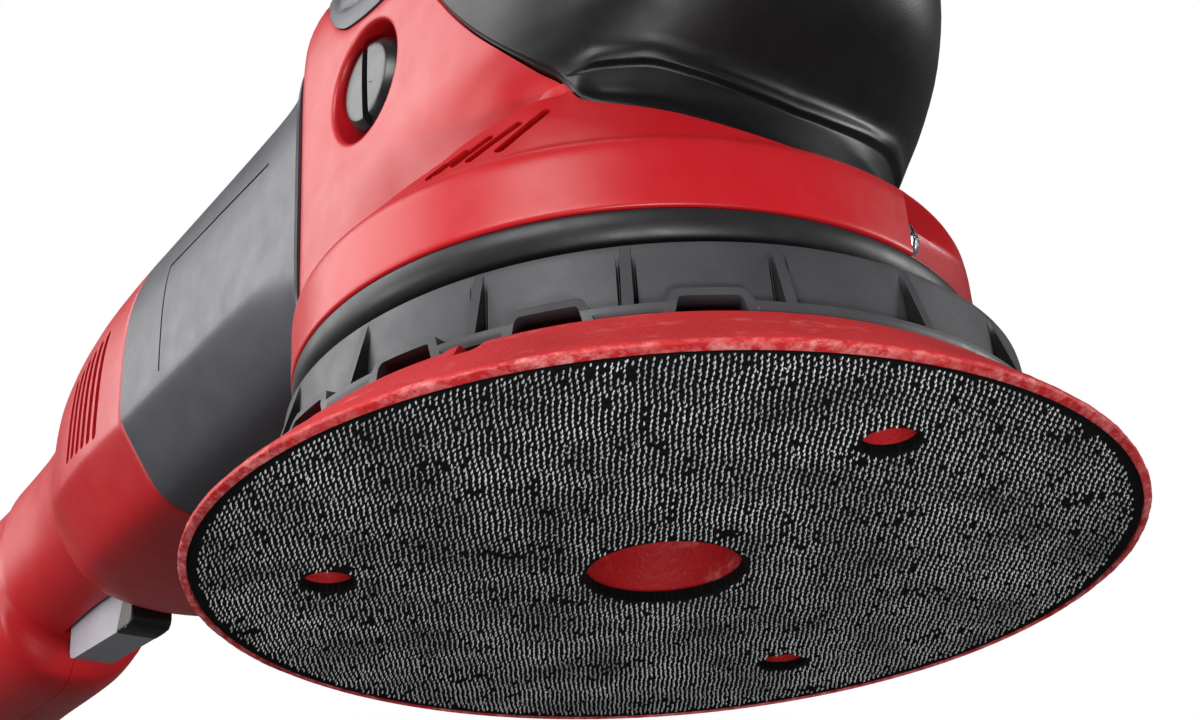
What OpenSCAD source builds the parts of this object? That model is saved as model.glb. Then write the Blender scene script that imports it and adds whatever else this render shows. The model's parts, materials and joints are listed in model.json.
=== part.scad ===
// Random-orbit sander with a horizontal motor, a bevel-type head and a rear handle.
// Millimetres. +Z is up, +X is the front of the tool and +Y its left side.
// The origin is the centre of the sanding face, on the pad's own axis.
// The drive axis lies orbit_r to the right of the pad's axis at rest.

/* [Pad] */
// Radius of the sanding face
pad_r = 62.5; // [61:0.5:64]
// Thickness of the hook layer
hook_t = 1.8; // [1.5:0.1:2.2]
// Height of the top of the foam above the sanding face
foam_top = 10; // [9:0.5:10]
// Radius of the hole in the middle of the pad
centre_hole_r = 10.5; // [10:0.1:10.8]
// Radius of each dust hole
dust_hole_r = 3.45; // [3:0.05:4]
// Radius of the circle that the dust holes lie on
dust_circle_r = 44.5; // [42:0.5:46]

/* [Fan shroud on the pad] */
// Height of the shroud's top edge above the sanding face
shroud_top = 21; // [20.5:0.1:21.4]
// Outer radius of the shroud at its top edge
shroud_top_r = 50.3; // [49.5:0.1:50.6]
// Number of ribs, and of air windows, round the shroud
rib_count = 18; // [12:1:20]

/* [Drive] */
// Distance from the drive axis to the pad's axis
orbit_r = 2.5; // [2:0.1:2.8]
// Height of the motor's axis
motor_z = 77; // [76.9:0.05:77.1]
// Teeth on the crown gear
crown_teeth = 36; // [36:12:36]
// Teeth on the motor pinion
pinion_teeth = 12; // [12:4:12]

/* [Head] */
// Outer radius of the round skirt
skirt_r = 47.4; // [47:0.1:48]
// Height of the skirt's lower edge
skirt_z = 27; // [26.6:0.1:27.2]
// Half of the width across the flat side walls
head_half_w = 36.25; // [36:0.25:37]
// Height of the top of the head
head_top = 120; // [119:0.5:122]
// Place of the flat rear face of the head
head_rear = -33; // [-33.5:0.5:-33]

/* [Motor housing and handle] */
// Place where the motor housing ends and the rear shells begin
housing_end = -100; // [-101:0.5:-99]
// Wall thickness of the housings
wall = 3; // [2.6:0.1:3]
// Place of the rear end of the handle
handle_end = -332; // [-336:1:-331]

/* [Controls] */
// Width of the trigger
trigger_w = 12; // [11:0.5:12]
// Radius of the speed dial
dial_r = 12; // [11.5:0.1:12.2]
// Radius of the lock button
lock_r = 4.5; // [4:0.1:4.5]

/* [Hidden] */

RED = [0.78, 0.11, 0.13];
BLACK = [0.07, 0.07, 0.08];
GREY = [0.27, 0.27, 0.29];
STEEL = [0.68, 0.69, 0.71];
ALLOY = [0.6, 0.61, 0.63];
COPPER = [0.72, 0.42, 0.22];
BRASS = [0.75, 0.6, 0.3];

eps = 0.01;
fine = 96;
dust_phase = -0.8;
rib_phase = -0.4;
flange_r = 53.2;
window_sectors = [9:16];
pocket_angle = 11;
pocket_r = 44.4;

// Heights along the drive, from the pad up
web_z = 15;
arbor_z = 18;
pad_bearing_z = 24;
pad_bearing_w = 10;
hub_top = 43;
deck_z = 44.3;
lower_bearing_z = 50.5;
lower_bearing_w = 11;
crown_z = 63;
crown_body_h = 6.7;
upper_bearing_z = 88;
small_bearing_w = 7;

// Radii of shafts and bearing races
arbor_r = 5.98;
pad_race_r = 16;
hub_r = 19.5;
spindle_r = 7.48;
lower_race_r = 17.5;
small_race_r = 11;
rear_race_r = 9.5;
case_r = 29;
case_bore_r = 24;

// Gear module 1: the pinion's pitch line runs along the crown gear's mean radius
crown_mean_r = crown_teeth / 2;
pinion_pitch_r = pinion_teeth / 2;
pinion_tip_r = pinion_pitch_r + 0.85;
tooth_face = 4;
pinion_x = -crown_mean_r - tooth_face / 2;

// Places along the motor, from the front to the back
front_bearing_x = -31.5;
fan_x = -47;
baffle_x = -51;
core_x = -100;
core_len = 40;
commutator_x = -128;
commutator_len = 14;
rear_bearing_x = -145;
rear_bearing_w = 6;
stator_r = 32;
housing_bore_r = 33.4;

// Trigger pivot, dial axle and handle hardware
pivot = [-208, 69];
dial_at = [-160, 97];
handle_screws = [[-245, 61], [-245, 93], [-305, 61], [-305, 93]];
gland_z = 77;

// Where the stem of each slotted cap ends, measured from the middle of the head
cap_base = 29.4;

// ---------- shared shapes ----------

// The body of the tool stands on the drive axis, beside the pad's axis.
module tool() translate([0, -orbit_r, 0]) children();

// A cylinder along +X from x, on the motor's axis.
module along_x(x, r, len, fn = fine) translate([x, 0, motor_z]) rotate([0, 90, 0]) cylinder(r = r, h = len, $fn = fn);

// A cylinder along +Y centred on y = 0.
module along_y(x, z, r, len, fn = 48) translate([x, len / 2, z]) rotate([90, 0, 0]) cylinder(r = r, h = len, $fn = fn);

// A tube standing on z.
module ring(z, r_out, r_in, h) translate([0, 0, z]) difference() {
  cylinder(r = r_out, h = h, $fn = fine);
  translate([0, 0, -1]) cylinder(r = r_in, h = h + 2, $fn = fine);
}

// A tube along X on the motor's axis.
module tube_x(x, r_out, r_in, len) difference() {
  along_x(x, r_out, len);
  along_x(x - 1, r_in, len + 2);
}

// A closed skin through rings that all have n points, turning left about the loft's direction.
module loft(rings, n) {
  m = len(rings);
  points = [for (r = rings) each r];
  walls = [for (k = [0:m - 2], i = [0:n - 1])
    [k * n + i, (k + 1) * n + i, (k + 1) * n + (i + 1) % n, k * n + (i + 1) % n]];
  first = [for (i = [0:n - 1]) i];
  last = [for (i = [n - 1:-1:0]) (m - 1) * n + i];
  polyhedron(points, concat([first], walls, [last]), convexity = 8);
}

// Signed power, the root of every superellipse here.
function spow(v, e) = sign(v) * pow(abs(v), e);

// Handing one closed shell on, not the solids that it is cut from.
module as_one_shell() resize([0, 0, 0]) children();

// ---------- outer forms ----------

// Motor housing and handle: [x, half width, lowest z, highest z].
body_stations = [
  [-332, 15.0, 58.0, 97.0], [-328, 20.5, 52.0, 102.5], [-318, 22.0, 50.5, 103.5], [-300, 20.8, 52.0, 102.5],
  [-260, 20.0, 52.0, 101.5], [-226, 19.6, 51.0, 101.5], [-218, 19.5, 52.5, 101.7], [-214, 19.5, 59.6, 101.9],
  [-195, 19.8, 60.0, 102.5], [-178, 21.4, 59.0, 104.0], [-170, 23.4, 54.0, 105.2], [-163, 25.8, 50.0, 106.4],
  [-154, 29.2, 47.0, 108.0], [-143, 32.6, 45.0, 110.0], [-130, 35.0, 43.5, 111.5], [-115, 36.3, 42.3, 112.5],
  [-100, 36.6, 41.5, 113.0], [-80, 36.6, 41.2, 113.0], [-60, 36.6, 41.0, 113.0], [-33, 36.3, 41.0, 113.0]
];
body_n = 36;

function body_at(x, column) = lookup(x, [for (s = body_stations) [s[0], s[column]]]);
function body_ring(x, inset) =
  let (hw = body_at(x, 1) - inset, lo = body_at(x, 2) + inset, hi = body_at(x, 3) - inset,
       mid = (lo + hi) / 2, hh = (hi - lo) / 2)
  [for (i = [0:body_n - 1]) let (a = 360 * i / body_n)
    [x, hw * spow(cos(a), 2 / 2.15), mid + hh * spow(sin(a), 2 / 2.15)]];
function body_xs(from, to) =
  concat([from], [for (s = body_stations) if (s[0] > from + 1 && s[0] < to - 1) s[0]], [to]);
module body_form(from, to, inset = 0) {
  loft([for (x = body_xs(from, to)) body_ring(x, inset)], body_n);
}

// Head: [z, half width, front x, rear x] of each level.
head_levels = [
  [40.0, head_half_w, 40.0, head_rear], [47.0, head_half_w, 38.5, head_rear],
  [50.0, head_half_w, 37.0, head_rear], [54.0, head_half_w, 38.5, head_rear],
  [57.0, head_half_w, 44.0, head_rear], [60.5, head_half_w, 49.0, head_rear],
  [65.0, head_half_w, 52.8, head_rear], [71.0, head_half_w, 55.0, head_rear],
  [78.0, head_half_w, 55.8, head_rear], [86.0, head_half_w, 55.2, head_rear],
  [93.0, head_half_w - 0.4, 53.2, head_rear], [99.0, head_half_w - 2.0, 50.0, head_rear],
  [105.0, head_half_w - 5.2, 45.2, head_rear], [110.0, head_half_w - 9.6, 39.2, head_rear + 0.3],
  [114.0, head_half_w - 14.6, 32.5, head_rear + 2.0], [117.0, head_half_w - 20, 25.2, head_rear + 6.0],
  [119.0, head_half_w - 26, 17.0, head_rear + 12.0], [head_top, head_half_w - 31, 9.0, head_rear + 20.0]
];
head_n = 40;

function head_ring(level, inset, dz) =
  let (hw = max(level[1] - inset, 1), front = level[2] - inset, rear = level[3] + inset)
  [for (i = [0:head_n - 1]) let (a = 360 * (i + 0.5) / head_n, c = cos(a), s = sin(a), e = c > 0 ? 2 / 2.3 : 2 / 9)
    [c > 0 ? front * spow(c, e) : rear * spow(-c, e), hw * spow(s, e), level[0] + dz]];
module head_form() loft([for (l = head_levels) head_ring(l, 0, 0)], head_n);
// The room inside the head: the same form, one wall smaller, standing on the deck.
module head_room() loft(concat([head_ring([deck_z, head_half_w, 40, head_rear], wall, 0)],
  [for (l = head_levels) if (l[0] > 46 && l[0] < 118) head_ring(l, wall, l[0] > 90 ? -wall : 0)]), head_n);

// Side views of the three covers of the head, each pushed across the whole width.
module across(points) translate([0, 60, 0]) rotate([90, 0, 0]) linear_extrude(height = 120) polygon(points);
seam_foot = [3, 84];
hood_edge = [seam_foot, [9.3, 74.6], [13.5, 68.2], [19.3, 60], [23.8, 54.9], [29.2, 49.5], [36, 44.6], [60, 44.6]];
cover_edge = [[-34, 106], [-27, 99], [-21, 90], [-17, 87.4], [-10, 86]];
seam_x = 5;
module hood_side(gap) across(concat([[seam_x + gap, head_top + 5]], [for (p = hood_edge) p + [gap, gap * 0.7]],
  [[60, head_top + 5]]));
module cover_side(gap) across(concat([[-40, head_top + 5], [-40, 106 + gap]], [for (p = cover_edge) p + [0, gap]],
  [seam_foot + [-gap, gap], [seam_x - gap, head_top + 5]]));

module head_skin() difference() {
  head_form();
  head_room();
  along_x(head_rear - 5, housing_bore_r - 2, 20, 48);
}

// ---------- pad, turning freely on its own axis ----------

module dust_holes(z, h, r) for (i = [0:2]) rotate(dust_phase + 120 * i) translate([dust_circle_r, 0, z])
  cylinder(r = r, h = h, $fn = 32);

module hook_face() color(BLACK) difference() {
  cylinder(r = pad_r - 0.25, h = hook_t, $fn = fine);
  translate([0, 0, -1]) cylinder(r = centre_hole_r, h = hook_t + 2, $fn = fine);
  dust_holes(-1, hook_t + 2, dust_hole_r);
}

module foam_pad() color(RED) difference() {
  rotate_extrude($fn = fine) polygon([[centre_hole_r, hook_t], [pad_r - 0.2, hook_t], [pad_r - 0.2, 0.05],
    [pad_r + 0.6, 0.35], [pad_r + 0.9, 0.8], [pad_r + 0.8, 1.4], [flange_r + 0.2, foam_top],
    [centre_hole_r, foam_top]]);
  dust_holes(0, foam_top + 1, dust_hole_r);
}

module backing_plate() color(GREY) difference() {
  union() {
    rotate_extrude($fn = fine) polygon([[11, foam_top], [flange_r, foam_top], [flange_r, foam_top + 1.4],
      [shroud_top_r + 0.7, foam_top + 1.4], [shroud_top_r, shroud_top], [shroud_top_r - 2.2, shroud_top],
      [shroud_top_r - 1.7, foam_top + 3], [14, foam_top + 3],
      [14, arbor_z], [4.1, arbor_z], [4.1, web_z], [11, web_z]]);
    for (i = [0:8]) rotate(40 * i + 20) translate([13.8, -1, foam_top + 2.9]) cube([36.4, 2, 5.6]);
    for (i = [0:rib_count - 1]) rotate(rib_phase + 360 / rib_count * i)
      translate([49.7, -0.7, foam_top + 1]) rotate([0, -12, 0]) cube([3.2, 1.4, 8.2]);
  }
  for (i = window_sectors) rotate(rib_phase + 360 / rib_count * (i + 0.5))
    translate([49.8, -3.7, foam_top + 0.6]) cube([8, 7.4, 1.7]);
  dust_holes(foam_top - 1, 6, dust_hole_r + 0.3);
}

module pad_arbor() color(STEEL) difference() {
  union() {
    translate([0, 0, arbor_z]) cylinder(r = 13, h = 3, $fn = fine);
    translate([0, 0, arbor_z + 3]) cylinder(r = 8, h = pad_bearing_z - arbor_z - 3, $fn = fine);
    translate([0, 0, pad_bearing_z]) cylinder(r = arbor_r, h = 12, $fn = fine);
  }
  translate([0, 0, arbor_z - 1]) cylinder(r = 4, h = 15, $fn = 48);
  ring(pad_bearing_z + pad_bearing_w + 0.3, 9, 5.4, 1.2);
}

module arbor_circlip() color(STEEL) difference() {
  ring(pad_bearing_z + pad_bearing_w + 0.35, 8.2, 5.4, 1.1);
  translate([0, -2, pad_bearing_z + pad_bearing_w]) cube([10, 4, 3]);
}

module pad_washer() color(STEEL) ring(web_z - 1.5, 8.5, 4.1, 1.5);

module pad_bolt() color(STEEL) difference() {
  union() {
    translate([0, 0, web_z - 4.7]) cylinder(r = 6.5, h = 3.2, $fn = 48);
    translate([0, 0, web_z - 1.5]) cylinder(r = 4, h = 16, $fn = 48);
  }
  translate([0, 0, web_z - 5]) cylinder(r = 3.4, h = 3.1, $fn = 6);
}

// ---------- drive spindle ----------

module spindle() color(STEEL) tool() {
  translate([0, 0, 37.5]) cylinder(r = 6, h = hub_top - 37.5, $fn = fine);
  translate([0, 0, hub_top]) cylinder(r = 9, h = 1.2, $fn = fine);
  translate([0, 0, hub_top + 1.2]) cylinder(r = spindle_r, h = crown_z - hub_top - 1.2, $fn = fine);
  translate([0, 0, crown_z]) cylinder(r = 8, h = crown_body_h, $fn = fine);
  translate([0, 0, crown_z + crown_body_h]) cylinder(r = 5, h = upper_bearing_z - crown_z - crown_body_h, $fn = fine);
  translate([0, 0, upper_bearing_z]) cylinder(r = 3.98, h = small_bearing_w, $fn = fine);
}

// The hub carries the pad's bearing off the drive axis.
module eccentric_hub() color(STEEL) difference() {
  translate([0, 0, pad_bearing_z]) cylinder(r = hub_r, h = hub_top - pad_bearing_z, $fn = fine);
  translate([0, 0, pad_bearing_z - 1]) cylinder(r = pad_race_r, h = pad_bearing_w + 1, $fn = fine);
  translate([0, 0, pad_bearing_z + pad_bearing_w - 1]) cylinder(r = 10, h = 4, $fn = fine);
  tool() translate([0, 0, 36]) cylinder(r = 6, h = 10, $fn = fine);
}

module counterweight() color(STEEL) difference() {
  tool() translate([0, 0, 26]) rotate([0, 0, 180]) rotate_extrude(angle = 180, $fn = fine)
    polygon([[15, 0], [39, 0], [39, 8.5], [37.5, 10], [15, 10]]);
  translate([0, 0, 20]) cylinder(r = hub_r, h = 30, $fn = fine);
}

module pad_bearing() color(STEEL) ring(pad_bearing_z, pad_race_r, 6, pad_bearing_w);

module crown_tooth() translate([crown_mean_r - tooth_face / 2, 0, crown_body_h]) rotate([90, 0, 90])
  linear_extrude(height = tooth_face) polygon([[-0.75, -0.2], [0.75, -0.2], [0.33, 2.05], [-0.33, 2.05]]);

module crown_gear() color(STEEL) tool() translate([0, 0, crown_z]) {
  difference() {
    cylinder(r = crown_mean_r + tooth_face / 2 + 1, h = crown_body_h, $fn = fine);
    translate([0, 0, -1]) cylinder(r = 8, h = crown_body_h + 2, $fn = fine);
    translate([0, 0, crown_body_h - 2]) ring(0, 14.5, 10.5, 4);
  }
  for (i = [0:crown_teeth - 1]) rotate((i + 0.5) * 360 / crown_teeth) crown_tooth();
}

// ---------- armature ----------

module armature_shaft() color(STEEL) tool() {
  along_x(-21, 3, 7);
  along_x(-33, 3.98, 12);
  along_x(rear_bearing_x + 7, 5, -33 - rear_bearing_x - 7);
  along_x(rear_bearing_x, 3.48, 7);
}

module drive_pinion() color(STEEL) tool() translate([pinion_x, 0, motor_z]) rotate([90, 0, 90]) difference() {
  linear_extrude(height = tooth_face) polygon([for (i = [0:pinion_teeth - 1])
    let (a = 360 / pinion_teeth * i - 90)
    for (p = [[4.55, -11], [pinion_tip_r, -2.6], [pinion_tip_r, 2.6], [4.55, 11]])
      [p[0] * cos(a + p[1]), p[0] * sin(a + p[1])]]);
  translate([0, 0, -1]) cylinder(r = 3, h = tooth_face + 2, $fn = 48);
}

module cooling_fan() color(BLACK) tool() {
  tube_x(fan_x, 30, 5, 1.6);
  tube_x(fan_x, 9, 5, 9);
  tube_x(fan_x + 7.6, 30, 22, 1.4);
  for (i = [0:8]) translate([fan_x + 1.4, 0, motor_z]) rotate([40 * i, 0, 0]) translate([0, -0.8, 12])
    rotate([-24, 0, 0]) cube([6.4, 1.6, 15.5]);
}

module armature_core() color(STEEL) tool() difference() {
  tube_x(core_x, 19.2, 5, core_len);
  for (i = [0:11]) translate([core_x - 1, 0, motor_z]) rotate([30 * i, 0, 0]) translate([0, -1, 12])
    cube([core_len + 2, 2, 9]);
}

// Coils in the core's slots and their end turns.
module armature_windings() color(COPPER) tool() {
  for (x = [core_x - 8, core_x + core_len]) tube_x(x, 17, 5, 8);
  for (i = [0:11]) translate([core_x, 0, motor_z]) rotate([30 * i, 0, 0]) translate([0, -0.9, 12.1])
    cube([core_len, 1.8, 6]);
}

module commutator() color(COPPER) tool() difference() {
  tube_x(commutator_x, 11, 5, commutator_len);
  for (i = [0:11]) translate([commutator_x - 1, 0, motor_z]) rotate([30 * i, 0, 0]) translate([0, -0.3, 9.8])
    cube([commutator_len - 2, 0.6, 3]);
}

// ---------- head ----------

module skirt_form() rotate_extrude($fn = fine) polygon([[24, 40.3], [33, 40.3], [42.5, 36],
  [42.5, skirt_z], [skirt_r, skirt_z], [skirt_r, 35.4], [skirt_r - 0.8, 37.3], [skirt_r - 2.6, 38.5], [38, 41.5], [35, deck_z], [24, deck_z]]);

// Pocket at the left front of the skirt that holds the clamp screw.
module skirt_pocket() rotate(pocket_angle) translate([pocket_r, 0, 28.2]) cube([8, 24, 7.4]);

// Bosses behind the side walls for the slotted caps.
module socket_boss(side) translate([-12, side * cap_base, 74.6]) rotate([-90 * side, 0, 0])
  cylinder(r = 12, h = head_half_w - cap_base - eps, $fn = 40);
module socket_hole(side) translate([-12, side * 20, 74.6]) rotate([-90 * side, 0, 0]) {
  cylinder(r = 5.1, h = 30, $fn = 32);
  translate([0, 0, head_half_w - 20 - 4.6]) cylinder(r = 9.35, h = 8, $fn = 40);
}

module gear_head() color(RED) tool() as_one_shell() difference() {
  union() {
    difference() {
      head_skin();
      hood_side(0);
      cover_side(0);
    }
    skirt_form();
    for (side = [-1, 1]) socket_boss(side);
  }
  translate([0, 0, 20]) cylinder(r = 24, h = 26, $fn = 64);
  body_form(head_rear - 20, head_rear - eps, -0.15);
  skirt_pocket();
  for (side = [-1, 1]) socket_hole(side);
  for (i = [0:3]) rotate(45 + 90 * i) translate([26.5, 0, 35]) cylinder(r = 2.7, h = 12, $fn = 24);
}

module front_hood() color(BLACK) tool() as_one_shell() intersection() {
  head_skin();
  hood_side(0.25);
}

module top_cover() color(GREY) tool() as_one_shell() intersection() {
  head_skin();
  cover_side(0.25);
}

module guard_ring() color(BLACK) tool() rotate_extrude($fn = fine) polygon([[42.8, 23], [46.2, 22.4],
  [47.2, 23.6], [47.3, skirt_z], [42.8, skirt_z]]);

module gear_case() color(ALLOY) tool() difference() {
  union() {
    translate([0, 0, 49]) cylinder(r = case_r, h = 48, $fn = fine);
    along_x(-36, 16, 14);
  }
  translate([0, 0, 48]) cylinder(r = case_bore_r, h = 38, $fn = fine);
  translate([0, 0, 80]) cylinder(r = 9, h = 12, $fn = fine);
  translate([0, 0, upper_bearing_z]) cylinder(r = small_race_r, h = small_bearing_w, $fn = fine);
  along_x(front_bearing_x, small_race_r, 16);
  along_x(-40, 8, 20);
  for (i = [0:3]) rotate(45 + 90 * i) translate([26.5, 0, 48]) cylinder(r = 2.5, h = 10, $fn = 32);
}

module bearing_plate() color(ALLOY) tool() difference() {
  union() {
    translate([0, 0, deck_z]) cylinder(r = case_r, h = 49 - deck_z, $fn = fine);
    translate([0, 0, 49]) cylinder(r = case_bore_r, h = 13, $fn = fine);
  }
  translate([0, 0, 40]) cylinder(r = 10, h = 30, $fn = fine);
  translate([0, 0, lower_bearing_z]) cylinder(r = lower_race_r, h = lower_bearing_w + 2, $fn = fine);
  for (i = [0:3]) rotate(45 + 90 * i) translate([26.5, 0, 40]) cylinder(r = 2.5, h = 10, $fn = 32);
}

// Each screw hangs under the deck and reaches up into the gear case.
module case_screws() color(STEEL) tool() for (i = [0:3]) rotate(45 + 90 * i) translate([26.5, 0, 0]) {
  translate([0, 0, 36.9]) cylinder(r = 4, h = 3, $fn = 32);
  translate([0, 0, 39.9]) cylinder(r = 2.5, h = 17, $fn = 32);
}

module spindle_bearing_lower() color(STEEL) tool() ring(lower_bearing_z, lower_race_r, 7.5, lower_bearing_w);
module spindle_bearing_upper() color(STEEL) tool() ring(upper_bearing_z, small_race_r, 4, small_bearing_w);
module armature_bearing_front() color(STEEL) tool() tube_x(front_bearing_x, small_race_r, 4, small_bearing_w);
module armature_bearing_rear() color(STEEL) tool() tube_x(rear_bearing_x, rear_race_r, 3.5, rear_bearing_w);

module socket_cap(side) color(BLACK) tool() translate([-12, side * cap_base, 74.6])
  rotate([-90 * side, 0, 0]) difference() {
    cap_top = head_half_w - cap_base - 0.2;
    union() {
      cylinder(r = 5, h = 3, $fn = 48);
      translate([0, 0, 2.6]) cylinder(r = 7.4, h = cap_top - 2.6, $fn = 64);
    }
    translate([-0.8, -9, cap_top - 1.8]) cube([1.6, 18, 3]);
  }
module socket_cap_right() socket_cap(-1);
module socket_cap_left() socket_cap(1);

module skirt_screw() color(STEEL) tool() rotate(pocket_angle) translate([pocket_r + 0.05, 3.5, 31.6])
  rotate([0, 90, 0]) difference() {
  cylinder(r = 2.6, h = 1.9, $fn = 32);
  translate([-3, -0.35, 1.2]) cube([6, 0.7, 1]);
}

// ---------- motor housing ----------

module motor_housing() color(GREY) tool() as_one_shell() difference() {
  body_form(housing_end + 0.15, head_rear - 0.15);
  body_form(housing_end - 2, head_rear + 2, wall);
}

module fan_baffle() color(BLACK) tool() tube_x(baffle_x, 32.8, 21, 1.5);

// Iron ring with two poles; the coils lie in the room between them.
module stator_core() color(STEEL) tool() difference() {
  tube_x(core_x, stator_r, 19.8, core_len);
  for (side = [-1, 1]) translate([core_x - 1, side * 24.5 - 2.6, motor_z - 13.1]) cube([core_len + 2, 5.2, 26.2]);
  for (side = [-1, 1]) translate([core_x - 1, -40, motor_z + side * 35 - 5]) cube([core_len + 2, 80, 10]);
}

module field_coils() color(COPPER) tool() for (side = [-1, 1])
  translate([core_x - 5, side * 24.5 - 2.5, motor_z - 13]) cube([core_len + 10, 5, 26]);

module rear_bracket() color(BLACK) tool() difference() {
  tube_x(rear_bearing_x - 2, 27.8, 6, 6);
  along_x(rear_bearing_x, rear_race_r, 8);
  for (i = [0:5]) translate([rear_bearing_x - 3, 0, motor_z]) rotate([60 * i + 30, 0, 0]) translate([0, 0, 19])
    rotate([0, 90, 0]) cylinder(r = 5, h = 8, $fn = 32);
}

module at_brush() for (side = [0, 180]) translate([commutator_x + 6.5, 0, motor_z]) rotate([side, 0, 0]) children();
module brush_holders() color(BRASS) tool() at_brush() difference() {
  translate([-5, -4, 13]) cube([10, 8, 16]);
  translate([-4, -3, 12]) cube([8, 6, 15]);
}
module carbon_brushes() color(BLACK) tool() at_brush() translate([-3.9, -2.9, 11.3]) cube([7.8, 5.8, 9]);
module brush_springs() color(STEEL) tool() at_brush() translate([0, 0, 20.3]) difference() {
  cylinder(r = 2.4, h = 6.6, $fn = 32);
  translate([0, 0, -1]) cylinder(r = 1.6, h = 9, $fn = 32);
}

// ---------- rear shells, handle and controls ----------

module air_slots(side) for (i = [0:5]) translate([-112 - 3.3 * i, side * 40, 71]) rotate([0, 3, 0])
  cube([1.7, 24, 20 - 0.9 * i], center = true);

module screw_boss(side) for (p = handle_screws) translate([p[0], side > 0 ? 0.1 : -17.5, p[1]]) rotate([-90, 0, 0])
  cylinder(r = 4.2, h = 17.4, $fn = 20);
module screw_bore() for (p = handle_screws) translate([p[0], -30, p[1]]) rotate([-90, 0, 0]) {
  cylinder(r = 1.8, h = 44, $fn = 20);
  cylinder(r = 3.6, h = 30 - 13.2, $fn = 20);
}

module half(side) translate([handle_end - 10, side > 0 ? 0.05 : -60.05, 0])
  cube([housing_end - 0.15 - handle_end + 10, 60, 140]);

module rear_shell(side) color(RED) tool() as_one_shell() difference() {
  intersection() {
    union() {
      difference() {
        body_form(handle_end, housing_end + 1);
        body_form(handle_end + 4, housing_end + 3, wall);
      }
      intersection() {
        screw_boss(side);
        body_form(handle_end, housing_end, 1);
      }
    }
    half(side);
  }
  screw_bore();
  air_slots(side);
  translate([-215.6, -trigger_w / 2 - 0.6, 40]) cube([39.8, trigger_w + 1.2, 24]);
  translate([dial_at[0] - 11, -4.2, 99]) cube([22, 8.4, 20]);
  if (side > 0) translate([-192, 10, 80]) rotate([-90, 0, 0]) cylinder(r = lock_r + 0.35, h = 20, $fn = 32);
  translate([handle_end - 2, 0, gland_z]) rotate([0, 90, 0]) cylinder(r = 9.1, h = 14, $fn = 48);
}
module rear_shell_right() rear_shell(-1);
module rear_shell_left() rear_shell(1);

module shell_screws() color(STEEL) tool() for (p = handle_screws) translate([p[0], -13.2, p[1]])
  rotate([-90, 0, 0]) {
    translate([0, 0, -2.2]) cylinder(r = 3.4, h = 2.2, $fn = 32);
    cylinder(r = 1.7, h = 26, $fn = 32);
  }

module electronics_module() color(BLACK) tool() difference() {
  union() {
    translate([-172, -13, 66]) cube([19, 26, 16]);
    for (side = [-1, 1]) translate([dial_at[0] - 3.5, side * 6.5 - 1.5, 81]) cube([7, 3, 20]);
  }
  along_y(dial_at[0], dial_at[1], 2, 40);
}

module dial_axle() color(STEEL) tool() along_y(dial_at[0], dial_at[1], 2, 16);

module speed_dial() color(BLACK) tool() translate([dial_at[0], 3.5, dial_at[1]]) rotate([90, 0, 0]) difference() {
  linear_extrude(height = 7) polygon([for (i = [0:71]) let (r = dial_r - (i % 2) * 0.5)
    [r * cos(5 * i), r * sin(5 * i)]]);
  translate([0, 0, -1]) cylinder(r = 2.05, h = 9, $fn = 48);
}

module switch_module() color(BLACK) tool() difference() {
  union() {
    translate([-238, -9, 75]) cube([56, 18, 18]);
    for (side = [-1, 1]) translate([pivot[0] - 4, side * 7.8 - 1.2, 66.2]) cube([8, 2.4, 9]);
  }
  along_y(pivot[0], pivot[1], 1.5, 40);
}

module trigger_pin() color(STEEL) tool() along_y(pivot[0], pivot[1], 1.5, 18);

module trigger() color(GREY) tool() difference() {
  translate([0, trigger_w / 2, 0]) rotate([90, 0, 0]) linear_extrude(height = trigger_w) polygon([
    [-178, 52.4], [-179.2, 51.2], [-181, 50.8], [-211, 53.4], [-213, 54.4], [-213.4, 56], [-213, 71],
    [-211.5, 73], [-204.5, 73], [-202.5, 70], [-201, 63], [-180, 61.6], [-178, 60]]);
  along_y(pivot[0], pivot[1], 1.55, 40);
}

// Compression spring between the trigger and the switch.
spring_turns = 5;
spring_n = 8;
spring_steps = 60;
module trigger_spring() color(STEEL) tool() translate([-187, 0, 62.8])
  loft([for (k = [0:spring_steps]) let (a = 360 * spring_turns * k / spring_steps, h = 11.5 * k / spring_steps)
    [for (i = [0:spring_n - 1]) let (b = 360 * i / spring_n, r = 3 + 0.4 * cos(b))
      [r * cos(a), -r * sin(a), h + 0.4 * sin(b)]]], spring_n);

module lock_button() color(BLACK) tool() translate([-192, 12.6, 80]) rotate([-90, 0, 0]) {
  cylinder(r = lock_r, h = 9.6, $fn = 64);
  cylinder(r = lock_r + 1.5, h = 2, $fn = 64);
}

module noise_filter() color(BLACK) tool() translate([-292, -7, 70]) cube([28, 14, 14]);

module cable_clamp() color(BLACK) tool() difference() {
  translate([-316, -12, 84]) cube([9, 24, 4]);
  for (side = [-1, 1]) translate([-311.5, side * 8.5, 80]) cylinder(r = 1.6, h = 12, $fn = 32);
}

module clamp_screws() color(STEEL) tool() for (side = [-1, 1]) translate([-311.5, side * 8.5, 76]) {
  cylinder(r = 1.6, h = 12, $fn = 32);
  translate([0, 0, 12]) cylinder(r = 3, h = 2, $fn = 32);
}

module cable_gland() color(BLACK) tool() translate([handle_end - 4, 0, gland_z]) rotate([0, 90, 0]) difference() {
  union() {
    cylinder(r = 12, h = 3.6, $fn = fine);
    cylinder(r = 8.9, h = 16, $fn = fine);
    translate([0, 0, 9.5]) cylinder(r = 10.6, h = 3, $fn = fine);
  }
  translate([0, 0, -1]) cylinder(r = 4.1, h = 18, $fn = fine);
}

// ---------- assembly ----------

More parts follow.
